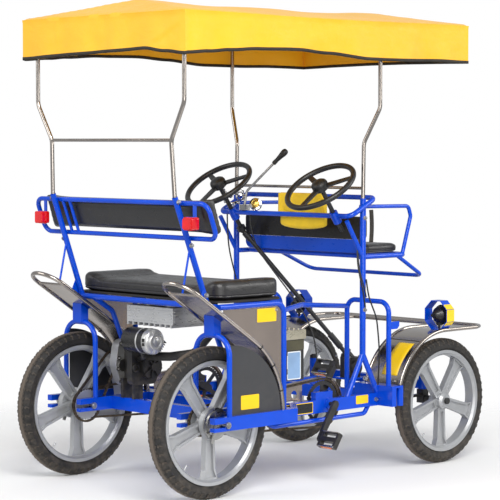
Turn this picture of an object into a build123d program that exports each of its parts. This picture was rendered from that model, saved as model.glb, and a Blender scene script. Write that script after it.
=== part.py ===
from build123d import *
import os
from math import atan2, asin, cos, degrees, hypot, radians, sin, sqrt

# Lengths are millimetres. +X is forward, +Y the vehicle's left, +Z up, and the ground is Z = 0.
# The layout is drawn with the rear axle at X = 0, and put() moves it to the middle of the length.

# Wheels
wheelbase = 1250.0
rear_track = 760.0
front_track = 806.0
rear_tyre_radius = 279.0
front_tyre_radius = 252.0
rear_rim_radius = 228.0
front_rim_radius = 205.0
tyre_width = 62.0
rim_width = 56.0
rim_step = 8.0
rim_depth = 20.0
spoke_count = 5
spoke_half = 20.0
spoke_pocket_wall = 9.0
spoke_web_half = 4.0
hub_radius = 34.0
hub_half_width = 36.0
sprocket_hub = 67.0
sprocket_hub_radius = 24.0
drum_radius = 60.0
valve_length = 32.0
running_gap = 0.05
wheel_gap = 3.0
soft_gap = 0.4

# Frame tubes and rails
rail_height = 50.0
rail_width = 25.0
rail_z = 283.0
rail_offset = 90.0
main_rail_offset = 20.0
rail_rear_x = -62.0
rail_jog_length = 100.0
front_rail_gap = 320.0
forward_rail_y = 200.0
outrigger_edge = 12.0
outrigger_top_z = 338.0
outrigger_plate = 8.0
socket_radius = 13.0
axle_radius = 7.0
axle_slot_gap = 0.4
axle_nut_radius = 12.0
frame_tube = 11.0
slim_tube = 10.0
thin_tube = 8.0
loop_tube = 9.0
bend = 40.0
loop_drop = 52.0

# Rear wheel cage
cage_x = 22.0
cage_top_z = 596.0
cage_bend = 70.0

# Bench and back
seat_tube_z = 700.0
seat_rear_x = 12.0
seat_front_x = 340.0
hoop_inset = 45.0
seat_board = 8.0
bench_height = 71.0
bench_x = (22.0, 372.0)
bench_corner = 50.0
bench_crown = 20.0
back_tube_lean = 148.0
back_tube_foot_x = 14.0
back_tube_splay = 9.0
back_top_z = 1099.0
back_ring_overhang = 67.0
back_ring_z = (950.0, 1078.0)
pad_thickness = 50.0
pad_overhang = 48.0
adjuster_y = (285.0, 325.0)
stay_top_z = 915.0
stay_foot_x = -104.0
stay_radius = 4.0

# Front posts, dash and child seat
post_setback = 410.0
post_fork_z = 462.0
post_top_z = 1076.0
post_foot_spread = 86.0
dash_rear_x = -82.0
dash_front_x = 60.0
dash_z = (1008.0, 1078.0)
dash_overhang = 12.0
child_seat_z = 846.0
child_seat_length = 270.0
child_seat_inset = 14.0
child_arm_z = 1044.0
child_panel_x = 28.0
child_cushion_x = 52.0
child_cushion_height = 35.0
foot_bar_x = 400.0
foot_bar_drop = 92.0

# Canopy
canopy_rear_x = -188.0
canopy_front_reach = 505.0
canopy_overhang = 46.0
canopy_tube_z = 1744.0
canopy_hem_drop = 142.0
canopy_edge_rise = 20.0
canopy_ridge_rise = 90.0
canopy_ridge_inset = (188.0, 83.0)
canopy_end_gap = 24.0
canopy_post_y = 420.0
canopy_post_step = 32.0
cloth = 4.0
joggle_half = 68.0

# Steering
kingpin_offset = 91.0
kingpin_radius = 10.0
head_tube_radius = 17.0
head_tube_z = (290.0, 368.0)
beam_half = 18.0
beam_z = (292.0, 328.0)
knuckle_arm = 120.0
knuckle_arm_z = 266.0
arm_pin_radius = 5.0
track_rod_z = 240.0
steering_wheel_radius = 150.0
steering_rim_tube = 11.0
column_hub_back = 167.0
column_hub_z = 1124.0
column_y = 290.0
column_tilt = 55.0
column_radius = 9.0
column_length = 215.0
steering_box_setback = 100.0
steering_box_z = (320.0, 404.0)
steering_box_half = (36.0, 32.0)
pitman_shaft_radius = 9.0
joint_ball = 13.0
joint_gap = 18.0
shaft_radius = 9.0

# Pedal drive
crank_setback = 202.0
crank_z = 290.0
crank_arm = 150.0
crank_axle_radius = 8.0
crank_shell_radius = 22.0
shell_half = 20.0
pedal_spread = 46.0
pedal_length = 88.0
pedal_half = 32.0
pedal_thickness = 11.0
chainring_radius = 88.0
chainring_teeth = 44
rear_sprocket_radius = 48.0
rear_sprocket_teeth = 24
chain_offset = 45.0
chain_height = 8.5
chain_width = 6.0
chain_gap = 0.5
sprocket_thickness = 3.0
tooth_depth = 5.0
chain_guard_gap = 14.0
chain_guard_sheet = 1.5
chain_guard_inner = 8.5
chain_guard_hood = 18.5
bracket_box = (72.0, 20.0, 30.0)

# Engine
engine_centre = (121.0, 443.0)
engine_y = (122.0, 266.0)
engine_case = 40.0
engine_foot_x = 110.0
engine_sprocket_radius = 28.0
engine_sprocket_teeth = 14
engine_driven_radius = 60.0
engine_driven_teeth = 30
engine_chain_offset = 63.0
silencer_centre = (50.0, 545.0)
silencer_radius = 48.0
silencer_y = (-40.0, 112.0)

# Fenders and bumper
fender_clearance = 35.0
fender_tube = 8.0
fender_sheet = 2.0
rear_fender_radius = 320.0
rear_fender_shift = (-19.0, 23.0)
rear_fender_stop = 56.5
rear_fender_run = 330.0
rear_fender_sides = (-76.0, 82.0)
front_fender_sides = (-148.0, 32.0)
bumper_reach = 250.0
bumper_setback = 60.0
side_guard_radius = 255.0
lug_z = 575.0
lug_reach = 60.0
lug_thickness = 4.0
lamp_inset = 35.0
lamp_height = 59.0
guard_radius = 64.0

# Places that follow from the sizes above
half_track = rear_track / 2
outer_rail_y = half_track + rail_offset
inner_rail_y = half_track - rail_offset
main_rail_y = half_track - main_rail_offset
rail_low = rail_z - rail_height / 2
rail_top = rail_z + rail_height / 2
rail_jog_x = seat_front_x + rail_width / 2
rail_join_x = rail_jog_x + rail_jog_length
rail_front_x = wheelbase - front_rail_gap
hoop_y = outer_rail_y - hoop_inset
post_x = wheelbase - post_setback
post_y = main_rail_y
crank_x = post_x - crank_setback
chain_y = half_track - chain_offset
engine_chain_y = half_track - engine_chain_offset
kingpin_y = front_track / 2 - kingpin_offset
front_fender_y = (front_track / 2 + front_fender_sides[0], front_track / 2 + front_fender_sides[1])
rear_fender_y = (half_track + rear_fender_sides[0], half_track + rear_fender_sides[1])
outrigger_y = (front_fender_y[0] - outrigger_edge, front_fender_y[1] + outrigger_edge)
front_fender_radius = front_tyre_radius + fender_clearance
fender_top_z = front_tyre_radius + front_fender_radius
socket_x = wheelbase - sqrt(front_fender_radius**2 - (outrigger_top_z - front_tyre_radius)**2)
bumper_x = wheelbase + bumper_reach
rear_fender_z = rear_tyre_radius + rear_fender_shift[1]
rear_fender_x = rear_fender_shift[0]
rear_fender_start = degrees(asin((rail_top - rear_fender_z) / rear_fender_radius)) + 0.1
column_hub_x = post_x - column_hub_back
steering_box_x = wheelbase - steering_box_setback
headlamp_at = (wheelbase, front_fender_y[1] - lamp_inset, fender_top_z + lamp_height)
canopy_x = (canopy_rear_x, post_x + canopy_front_reach)
canopy_ridge = (canopy_x[0] + canopy_ridge_inset[0], canopy_x[1] - canopy_ridge_inset[1])
canopy_ridge_z = canopy_tube_z + canopy_ridge_rise
vehicle_front = bumper_x + fender_tube
centre_x = (vehicle_front - rear_tyre_radius) / 2
column_down = (cos(radians(column_tilt)), -sin(radians(column_tilt)))
shaft_head = (column_hub_x + (column_length + joint_gap) * column_down[0], column_y,
              column_hub_z + (column_length + joint_gap) * column_down[1])
shaft_foot = (steering_box_x - 20, 14, steering_box_z[1] + 22)

os.makedirs("parts", exist_ok=True)


def put(name, shape):
    """Write one node, moved so that the vehicle's length is centred on the origin."""
    export_step(Pos(-centre_x, 0, 0) * shape, f"parts/{name}.step")


def group(*shapes):
    """Solids that don't touch, kept as one compound."""
    solids = []
    for shape in shapes:
        solids += list(shape.solids())
    return Compound(solids)


def mirrored(shape):
    return mirror(shape, about=Plane.XZ)


def both(shape):
    return group(shape, mirrored(shape))


def tube(points, radius, corner=0.0):
    """A round bar along straight runs with equal bends."""
    path = Polyline(*points) if len(points) == 2 else FilletPolyline(*points, radius=corner)
    return sweep(Plane(origin=path @ 0, z_dir=path % 0) * Circle(radius), path=path)


def ring_tube(corners, radius, corner):
    """A closed round bar with an equal bend at each corner."""
    path = FilletPolyline(*corners, radius=corner, close=True)
    return sweep(Plane(origin=path @ 0, z_dir=path % 0) * Circle(radius), path=path)


def rod_y(x, z, radius, y0, y1):
    """A cylinder along Y."""
    return Pos(x, (y0 + y1) / 2, z) * Rot(90, 0, 0) * Cylinder(radius, abs(y1 - y0))


def rod_z(x, y, radius, z0, z1):
    return Pos(x, y, (z0 + z1) / 2) * Cylinder(radius, z1 - z0)


def block(x, y, z):
    """A box from three (low, high) pairs."""
    size = [b - a for a, b in (x, y, z)]
    return Pos(*[(a + b) / 2 for a, b in (x, y, z)]) * Box(*size)


def plate(points, y, thickness):
    """A flat plate drawn in XZ that starts at y and grows towards +Y."""
    face = make_face(Polyline(*points, close=True))
    return Plane.XZ.offset(-y - thickness) * extrude(face, thickness)


def rail(points, width=rail_width, height=rail_height, z=rail_z):
    """A rectangular bar along a plan of straight runs."""
    path = Polyline(*[(x, y, z) for x, y in points])
    plane = Plane(origin=path @ 0, x_dir=(0, 0, 1), z_dir=path % 0)
    return sweep(plane * Rectangle(height, width), path=path, transition=Transition.RIGHT)


def revolve_y(profile, x, y, z):
    """Turn a closed outline of (radius, offset along Y) points about an axis along Y."""
    face = Plane.XY * make_face(Polyline(*profile, close=True))
    return Pos(x, y, z) * revolve(face, Axis.Y)


def sprocket(radius, teeth, thickness=sprocket_thickness):
    """A toothed disc about the Y axis."""
    points = []
    for k in range(2 * teeth):
        r = radius - tooth_depth * (k % 2)
        a = radians(180 * k / teeth)
        points.append((r * cos(a), r * sin(a)))
    face = make_face(Polyline(*points, close=True))
    return Plane.XZ * extrude(face, thickness / 2, both=True)


def side_frame():
    """The right side: two rails round the rear wheel that join and run forward as one."""
    frame = rail([(rail_rear_x, -outer_rail_y), (rail_jog_x, -outer_rail_y), (rail_join_x, -main_rail_y),
                  (rail_front_x, -main_rail_y)])
    frame += rail([(rail_rear_x, -inner_rail_y), (rail_jog_x, -inner_rail_y), (rail_join_x, -main_rail_y)])
    frame += block((seat_front_x - rail_width / 2, rail_jog_x), (-outer_rail_y, -inner_rail_y), (rail_low, rail_top))
    y_in, y_out = outrigger_y
    plate_low = outrigger_top_z - outrigger_plate
    back_x_low = rail_front_x - rail_width / 2
    frame += block((back_x_low, rail_front_x + rail_width / 2), (-y_out, -y_in), (rail_low, plate_low))
    frame += block((back_x_low, socket_x), (-y_out, -y_in), (plate_low, outrigger_top_z))
    frame += rod_z(socket_x, -front_fender_y[1], socket_radius, rail_low, outrigger_top_z)
    frame += rod_y(crank_x, crank_z, crank_shell_radius, -main_rail_y - shell_half, -main_rail_y + shell_half)
    behind, ahead, rise = bracket_box
    frame += block((crank_x - behind, crank_x + ahead), (-main_rail_y - rail_width / 2, -main_rail_y + rail_width / 2),
                   (rail_z, rail_top + rise))
    loop_z = rail_z - loop_drop
    frame += tube([(rail_front_x - 40, -main_rail_y, rail_z), (rail_front_x - 80, -main_rail_y, loop_z),
                   (seat_front_x + 10, -main_rail_y, loop_z - 4), (seat_front_x - 50, -inner_rail_y, rail_z)],
                  loop_tube, 25)
    slot_half = axle_radius + axle_slot_gap
    for y in (outer_rail_y, inner_rail_y):
        frame -= block((rail_rear_x - 1, 0), (-y - rail_width, -y + rail_width),
                       (rear_tyre_radius - slot_half, rear_tyre_radius + slot_half))
        frame -= rod_y(0, rear_tyre_radius, slot_half, -y - rail_width, -y + rail_width)
    return frame - rod_y(crank_x, crank_z, crank_axle_radius + running_gap,
                         -main_rail_y - 2 * shell_half, -main_rail_y + 2 * shell_half)


def rear_axle():
    """Axle with end nuts, spacers and the ribbed back plate of the drum brake, right side."""
    z = rear_tyre_radius
    outer = -outer_rail_y - rail_width / 2
    inner = -inner_rail_y + rail_width / 2
    axle = rod_y(0, z, axle_radius, outer - 12, inner + 12)
    nuts = rod_y(0, z, axle_nut_radius, outer - 9, outer) + rod_y(0, z, axle_nut_radius, inner, inner + 9)
    drum_y = -half_track - hub_half_width - 1
    disc = rod_y(0, z, drum_radius - 1, drum_y - 5, drum_y)
    disc += rod_y(0, z, drum_radius - 14, drum_y - 10, drum_y - 5)
    disc += rod_y(0, z, 15, -outer_rail_y + rail_width / 2, drum_y)
    for angle in (20, 140, 260):
        disc += Pos(0, 0, z) * Rot(0, angle, 0) * block((12, drum_radius - 10), (drum_y - 14, drum_y - 5), (-3, 3))
    disc += Pos(0, 0, z) * Rot(0, 110, 0) * block((30, drum_radius + 14), (drum_y - 13, drum_y - 9), (-7, 7))
    spacer = rod_y(0, z, 13, -half_track + sprocket_hub + 1, -inner_rail_y - rail_width / 2)
    return axle + nuts + disc + spacer


def fender_line_z(x):
    """Height of the rear fender's straight run at a place along X, at the middle of its sheet."""
    stop = radians(rear_fender_stop)
    x2 = rear_fender_x + rear_fender_radius * cos(stop)
    z2 = rear_fender_z + rear_fender_radius * sin(stop)
    return z2 + (x2 - x) * cos(stop) / sin(stop)


def cage():
    """Inverted-U hoop over the right rear wheel with the bracket that holds the fender."""
    hoop = tube([(cage_x, -inner_rail_y, rail_top), (cage_x, -inner_rail_y, cage_top_z),
                 (cage_x, -outer_rail_y, cage_top_z), (cage_x, -outer_rail_y, rail_top)], slim_tube, cage_bend)
    below = (fender_sheet / 2 + soft_gap) / sin(radians(rear_fender_stop))
    x0, x1 = cage_x - 18, cage_x + 18
    bracket = plate([(x0, cage_top_z), (x1, cage_top_z), (x1, fender_line_z(x1) - below),
                     (x0, fender_line_z(x0) - below)], -half_track - 26, 52)
    return hoop + bracket


def side_hoop():
    """Tube along the bench's side that bends down to the frame, right side."""
    return tube([(seat_rear_x, -hoop_y, seat_tube_z), (seat_front_x, -hoop_y, seat_tube_z),
                 (seat_front_x, -hoop_y, rail_top)], frame_tube, bend)


def seat_frame():
    """Two cross tubes under the bench with struts down to the inner rails."""
    half = hoop_y - frame_tube
    frame = tube([(seat_rear_x, -half, seat_tube_z), (seat_rear_x, half, seat_tube_z)], frame_tube)
    front_x = seat_front_x - bend - frame_tube
    frame += tube([(front_x, -half, seat_tube_z), (front_x, half, seat_tube_z)], frame_tube)
    y = rear_fender_y[0] - fender_tube - slim_tube - 1
    for side in (-1, 1):
        frame += tube([(seat_rear_x + 6, side * y, seat_tube_z - 6), (105, side * y, 640),
                       (250, side * y, rail_top - 8)], slim_tube, 40)
    keep = block((-200, seat_front_x), (-hoop_y, hoop_y), (rail_top, seat_tube_z + 2 * frame_tube))
    return (frame & keep) - side_hoops


def back_x(z):
    """X of the slanted back tube's centre line at a height."""
    return back_tube_foot_x - back_tube_lean * (z - seat_tube_z) / (back_top_z - seat_tube_z)


def back_frame():
    """Slanted back tubes, the rounded backrest frame, its height bars and the fender stays."""
    foot_z = seat_tube_z + frame_tube * 0.6
    frame = None
    for side in (-1, 1):
        leg = tube([(back_tube_foot_x, side * post_y, foot_z),
                    (back_x(back_top_z), side * (post_y - back_tube_splay), back_top_z)], frame_tube)
        frame = leg if frame is None else frame + leg
        gusset = [(back_tube_foot_x, seat_tube_z), (back_x(foot_z + 60), foot_z + 60),
                  (back_tube_foot_x - 48, seat_tube_z + 16)]
        frame += plate(gusset, side * (post_y + frame_tube - 3) - 2, 4)
    low, high = back_ring_z
    ring_step = 2 * frame_tube
    x_mid, x_high = back_x(low) + ring_step, back_x(high) + ring_step
    half = hoop_y + back_ring_overhang
    frame += ring_tube([(x_mid, -half, low), (x_high, -half, high), (x_high, half, high), (x_mid, half, low)],
                       frame_tube - 2, 36)
    for side in (-1, 1):
        for z in back_ring_z:
            frame += tube([(back_x(z) + ring_step, side * (post_y - 4), z), (back_x(z), side * (post_y - 4), z)], 8)
    for y in adjuster_y:
        frame += tube([(x_mid - 3, y, low), (x_high - 3, y, high)], 6)
    for side in (-1, 1):
        stay = tube([(stay_foot_x, side * (post_y - 5), fender_line_z(stay_foot_x)),
                     (back_x(stay_top_z), side * (post_y - 5), stay_top_z)], stay_radius)
        frame += (stay - fenders_rear).solids().sort_by(SortBy.VOLUME)[-1]
    return frame - seat - side_hoops


def front_posts():
    """Upright posts with A-shaped legs."""
    right = tube([(post_x, -post_y, post_fork_z), (post_x, -post_y, post_top_z)], frame_tube + 1)
    for dx in (-post_foot_spread, post_foot_spread):
        right += tube([(post_x + dx * 1.04, -post_y, rail_top - 8), (post_x, -post_y, post_fork_z + 4)], frame_tube)
    keep = block((post_x - 300, post_x + 300), (-2 * post_y, 0), (rail_top, post_top_z + 100))
    return both((right & keep) - right_frame)


def dash_frame():
    """Two cross tubes with side loops, the column collars and diagonals back down to the posts."""
    rx, fx = post_x + dash_rear_x, post_x + dash_front_x
    rz, fz = dash_z
    half = post_y + dash_overhang
    frame = ring_tube([(rx, -half, rz), (fx, -half, fz), (fx, half, fz), (rx, half, rz)], slim_tube, 30)
    t = (rx - column_hub_x) / column_down[0]
    z = column_hub_z + t * column_down[1]
    for side in (-1, 1):
        frame += tube([(rx - 10, side * post_y, rz - 18), (post_x, side * post_y, child_seat_z)], loop_tube)
        lean = Pos(rx, side * column_y, z) * Rot(0, 90 + column_tilt, 0)
        frame += lean * Cylinder(column_radius + 8, 50)
        frame += block((rx - 6, rx + 40), (side * column_y - 24, side * column_y + 24), (rz - 5, rz + 5))
        frame -= lean * Cylinder(column_radius + running_gap, 200)
    return frame - posts


def child_seat_frame():
    """Seat base, arm loops and the foot bar of the forward-facing child seat."""
    y = post_y - child_seat_inset
    z = child_seat_z
    front = post_x + child_seat_length
    frame = tube([(post_x, -y, z), (front, -y, z), (front, y, z), (post_x, y, z)], slim_tube, bend)
    inner_x = post_x + child_cushion_x + 2
    frame += tube([(inner_x, -y, z), (inner_x, y, z)], loop_tube)
    arm = child_arm_z
    for side in (-1, 1):
        frame += tube([(post_x, side * y, arm), (front + 10, side * y, arm - 4), (front + 24, side * y, arm - 44),
                       (front - 26, side * y, z)], thin_tube, 22)
    foot_z = z - foot_bar_drop
    frame += tube([(front - 60, -y, z), (post_x + foot_bar_x, -y + 30, foot_z), (post_x + foot_bar_x, y - 30, foot_z),
                   (front - 60, y, z)], thin_tube, bend)
    return frame - posts - dash


def front_hoops():
    """Inverted-U hoops behind the front wheels with the reach tubes and the bolt lugs."""
    x = rail_front_x
    inner, outer = forward_rail_y - 10, front_fender_y[1] - 19
    top = 668
    hoop = tube([(x, -inner, rail_top), (x, -inner, top), (x, -outer, top), (x, -outer, outrigger_top_z)],
                slim_tube, 45)
    reach = tube([(seat_front_x - 6, -hoop_y, seat_tube_z - 30), (seat_front_x + 220, -post_y + 60, top + 4),
                  (x, -inner, top - 28)], slim_tube, 120)
    lug = plate([(x, lug_z - 15), (x + lug_reach - 12, lug_z - 15), (x + lug_reach, lug_z - 3),
                 (x + lug_reach, lug_z + 15), (x, lug_z + 15)], -outer - lug_thickness / 2, lug_thickness)
    return both(hoop + reach + lug) - side_hoops


def cross_members():
    """Bars between the two side frames and the two forward rails to the axle beam."""
    z = (rail_low, rail_top)
    inner = inner_rail_y - rail_width / 2
    bars = None
    for x, half in ((engine_foot_x, inner), (seat_front_x - 40, inner), (rail_front_x, outrigger_y[0])):
        bar = block((x - 15, x + 15), (-half, half), z)
        bars = bar if bars is None else bars + bar
    for y in (-forward_rail_y, forward_rail_y):
        bars += block((rail_front_x, wheelbase - beam_half), (y - rail_width / 2, y + rail_width / 2), z)
    return bars


def front_axle_beam():
    """Beam between the kingpin head tubes with the steering box's shelf."""
    beam = block((wheelbase - beam_half, wheelbase + beam_half), (-kingpin_y, kingpin_y), beam_z)
    box_x, shelf_top = steering_box_x, steering_box_z[0]
    beam += block((box_x - 45, wheelbase), (-45, 45), (shelf_top - 6, shelf_top))
    for side in (-1, 1):
        beam += rod_z(wheelbase, side * kingpin_y, head_tube_radius, *head_tube_z)
    for side in (-1, 1):
        beam -= rod_z(wheelbase, side * kingpin_y, kingpin_radius + running_gap, 200, 400)
    return beam - rod_z(box_x, 0, pitman_shaft_radius + 0.5, shelf_top - 20, shelf_top + 10)


def knuckle():
    """Right knuckle: kingpin, block, stub axle and steering arm."""
    z = front_tyre_radius
    x, y = wheelbase, -kingpin_y
    part = rod_z(x, y, kingpin_radius, z - 8, head_tube_z[1] + 16)
    part += rod_z(x, y, head_tube_radius - 1, head_tube_z[1] + 0.3, head_tube_z[1] + 12)
    part += block((x - 17, x + 17), (y - 17, y + 17), (z - 18, head_tube_z[0] - 0.3))
    wheel_y = -front_track / 2
    part += rod_y(x, z, axle_radius + 1, wheel_y - hub_half_width - 8, y)
    part += rod_y(x, z, 14, wheel_y + hub_half_width + wheel_gap, y)
    nut_y = wheel_y - hub_half_width - 1
    part += rod_y(x, z, axle_nut_radius + 1, nut_y - 8, nut_y)
    arm_z = (knuckle_arm_z - 5, knuckle_arm_z + 5)
    arm = block((x - knuckle_arm, x), (y - 11, y + 11), arm_z)
    arm += rod_z(x - knuckle_arm, y, 11, *arm_z)
    return part + arm - rod_z(x - knuckle_arm, y, arm_pin_radius + running_gap, arm_z[0] - 5, arm_z[1] + 5)


def track_rod():
    """Rod between both steering arms with a lug to the pitman arm; each end has its pin."""
    x = wheelbase - knuckle_arm
    lug_x = steering_box_x - knuckle_arm
    seat_z = knuckle_arm_z - 5.4
    rod = rod_y(x, track_rod_z, 7, -kingpin_y, kingpin_y)
    for side in (-1, 1):
        rod += rod_z(x, side * kingpin_y, 10, track_rod_z - 8, seat_z)
        rod += rod_z(x, side * kingpin_y, arm_pin_radius, track_rod_z, knuckle_arm_z + 9)
    rod += block((lug_x, x), (-8, 8), (track_rod_z - 5, track_rod_z + 5))
    rod += rod_z(lug_x, 0, 9, track_rod_z - 5, seat_z)
    return rod + rod_z(lug_x, 0, arm_pin_radius, track_rod_z, knuckle_arm_z + 9)


def pitman():
    """Arm under the steering box on its output shaft."""
    x, z = steering_box_x - knuckle_arm, (knuckle_arm_z - 5, knuckle_arm_z + 5)
    arm = block((x, steering_box_x), (-10, 10), z) + rod_z(x, 0, 11, *z)
    arm -= rod_z(x, 0, arm_pin_radius + running_gap, z[0] - 5, z[1] + 5)
    shaft = rod_z(steering_box_x, 0, pitman_shaft_radius, z[0], steering_box_z[0] + 20)
    return arm + shaft + rod_z(steering_box_x, 0, 14, z[0] - 5, z[1] + 9)


def shaft_direction():
    """Unit vector up the intermediate shaft, from its foot to its head."""
    d = [a - b for a, b in zip(shaft_head, shaft_foot)]
    n = hypot(*d)
    return [v / n for v in d]


def steering_box():
    """Cast gear housing with its input boss, round cover and bolts."""
    low, high = steering_box_z
    hx, hy = steering_box_half
    body = block((steering_box_x - hx, steering_box_x + hx), (-hy, hy), (low, high))
    body = fillet(body.edges().filter_by(Axis.Z), 14)
    body += rod_y(steering_box_x, (low + high) / 2, hx - 6, -hy - 9, -hy)
    plane = Plane(origin=shaft_foot, z_dir=shaft_direction())
    body += plane * Pos(0, 0, -30) * Cylinder(20, 60)
    body += plane * Pos(0, 0, -8) * Cylinder(25, 8)
    body -= plane * Pos(0, 0, -20 + 0.5) * Cylinder(shaft_radius + running_gap, 41)
    return body - rod_z(steering_box_x, 0, pitman_shaft_radius + running_gap, low - 20, low + 21)


def column(y):
    """Column with its three-spoke wheel; its axis tilts down and forward through the hub."""
    hub = Pos(column_hub_x, y, column_hub_z) * Rot(0, column_tilt - 90, 0)
    rim_radius = steering_wheel_radius - steering_rim_tube
    part = Torus(rim_radius, steering_rim_tube)
    part += revolve(Plane.XZ * make_face(Polyline((0, -18), (22, -18), (33, -11), (33, 4), (22, 13), (0, 15), close=True)),
                    Axis.Z)
    for k in range(3):
        half = (13, 9)
        spoke = make_face(Polyline((20, -half[0]), (rim_radius, -half[1]), (rim_radius, half[1]), (20, half[0]),
                                   close=True))
        part += Rot(0, 0, 60 + 120 * k) * Pos(0, 0, -7) * extrude(spoke, 8)
    end = column_length
    part += Pos(0, 0, -end / 2) * Cylinder(column_radius, end)
    if y > 0:
        part += Pos(0, 0, -end - joint_gap / 2) * Cylinder(joint_ball + 5, joint_gap)
        part -= Pos(0, 0, -end - joint_gap) * Sphere(joint_ball + 0.4)
    return hub * part


def intermediate_shaft():
    """Long shaft with a ball joint at its head and a stepped sleeve above its foot."""
    plane = Plane(origin=shaft_foot, z_dir=shaft_direction())
    length = hypot(*[a - b for a, b in zip(shaft_head, shaft_foot)])
    part = plane * Pos(0, 0, (length - 39) / 2) * Cylinder(shaft_radius, length + 39)
    part += plane * Pos(0, 0, length - 34) * Cylinder(joint_ball, 40)
    part += plane * Pos(0, 0, 60) * Cylinder(joint_ball, 70)
    return part + Pos(*shaft_head) * Sphere(joint_ball)


def wheel(track, tyre_radius, rim_radius, x, side, sprockets):
    """A cast five-spoke wheel; side is -1 for the right wheel. Returns tyre and wheel."""
    y = side * track / 2
    r, w, h, t = rim_radius, rim_width / 2, tyre_width / 2, tyre_radius
    rim = [(r - rim_depth, -w + 8), (r - 12, -w), (r, -w), (r, -w + 5), (r - rim_step, -w + 8), (r - rim_step, w - 8),
           (r, w - 5), (r, w), (r - 12, w), (r - rim_depth, w - 8)]
    body = revolve_y(rim, x, y, t)
    knee, end = r * 0.76, r - rim_depth + 5
    wide = spoke_half + 5
    flare = spoke_half * 1.9
    outline = [(hub_radius - 6, -spoke_half), (knee, -wide), (end, -flare), (end, flare), (knee, wide),
               (hub_radius - 6, spoke_half)]
    wall = spoke_pocket_wall
    pocket = [(hub_radius + 12, wall - spoke_half), (knee, wall - wide), (end - 12, wall - flare),
              (end - 12, flare - wall), (knee, wide - wall), (hub_radius + 12, spoke_half - wall)]
    spoke = Plane.XZ * extrude(make_face(Polyline(*outline, close=True)), 12, both=True)
    cut = Plane.XZ * extrude(make_face(Polyline(*pocket, close=True)), 12)
    spoke -= Pos(0, -spoke_web_half, 0) * cut + Pos(0, 12 + spoke_web_half, 0) * cut
    for k in range(spoke_count):
        body += Pos(x, y, t) * Rot(0, 90 + k * 360 / spoke_count, 0) * spoke
    dome = [(0, -hub_half_width), (hub_radius - 9, -hub_half_width), (hub_radius, -hub_half_width + 9),
            (hub_radius, hub_half_width - 9), (hub_radius - 9, hub_half_width), (0, hub_half_width)]
    body += revolve_y(dome, x, y, t)
    valve = Pos(r - rim_depth - valve_length / 2 + 3, 0, 0) * Rot(0, 90, 0) * Cylinder(3.2, valve_length)
    body += Pos(x, y, t) * Rot(0, 90 + 180 / spoke_count, 0) * valve
    if sprockets:
        body += rod_y(x, t, sprocket_hub_radius, y, y - side * sprocket_hub)
        body += rod_y(x, t, drum_radius, y + side * 14, y + side * hub_half_width)
    for offset, radius, teeth in sprockets:
        body += Pos(x, y - side * offset, t) * sprocket(radius, teeth)
    bore = axle_radius if x == 0 else axle_radius + 1
    body -= rod_y(x, t, bore + running_gap, y - 2 * sprocket_hub, y + 2 * sprocket_hub)
    section = [(r - rim_step + 0.4, -w + 8.4), (r + 0.4, -w + 5), (r + 9, -h), (r + (t - r) * 0.55, -h),
               (t - 7, -h * 0.62), (t, -6), (t, 6), (t - 7, h * 0.62), (r + (t - r) * 0.55, h), (r + 9, h),
               (r + 0.4, w - 5), (r - rim_step + 0.4, w - 8.4)]
    return revolve_y(section, x, y, t), body


def crank_set(side, angle):
    """Crank axle, chainring, two arms and two pedals; side -1 is the right set."""
    ring_y = main_rail_y - chain_y
    part = rod_y(0, 0, crank_axle_radius, -pedal_spread, pedal_spread)
    rim = sprocket(chainring_radius, chainring_teeth) - rod_y(0, 0, chainring_radius - 18, -5, 5)
    part += Pos(0, ring_y, 0) * rim + rod_y(0, 0, 20, ring_y - 3, ring_y + 3)
    half = sprocket_thickness / 2
    for k in range(spoke_count):
        spoke = block((0, chainring_radius - 14), (ring_y - half, ring_y + half), (-8, 8))
        part += Rot(0, 360 * k / spoke_count, 0) * spoke
    for sign, turn in ((-1, 0), (1, 180)):
        y = sign * pedal_spread
        outline = make_hull([*Circle(15).edges(), *(Pos(crank_arm, 0) * Circle(11)).edges()])
        arm = Pos(0, y, 0) * (Plane.XZ * extrude(outline, 6, both=True))
        near, far = y + sign * 8, y + sign * (8 + pedal_length)
        pedal = block((crank_arm - pedal_half, crank_arm + pedal_half), sorted((near, far)),
                      (-pedal_thickness, pedal_thickness))
        for x in (-17, 17):
            pedal -= block((crank_arm + x - 8, crank_arm + x + 8), sorted((near + sign * 12, far - sign * 10)),
                           (-2 * pedal_thickness, 2 * pedal_thickness))
        arm += rod_y(crank_arm, 0, 6, y, far - sign * 4) + pedal
        part += Rot(0, turn, 0) * arm
    part = Pos(crank_x, -main_rail_y, crank_z) * Rot(0, angle, 0) * part
    return part if side < 0 else mirrored(part)


def belt(x0, z0, r0, x1, z1, r1):
    """The outline round two circles drawn in XZ."""
    return make_hull([*(Pos(x0, z0) * Circle(r0)).edges(), *(Pos(x1, z1) * Circle(r1)).edges()])


def chain_loop(x0, z0, r0, x1, z1, r1, y):
    """A closed chain as a flat belt with half-round ends."""
    grow = chain_gap + chain_height
    face = belt(x0, z0, r0 + grow, x1, z1, r1 + grow) - belt(x0, z0, r0 + chain_gap, x1, z1, r1 + chain_gap)
    return Plane.XZ.offset(-y) * extrude(face, chain_width / 2, both=True)


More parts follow.
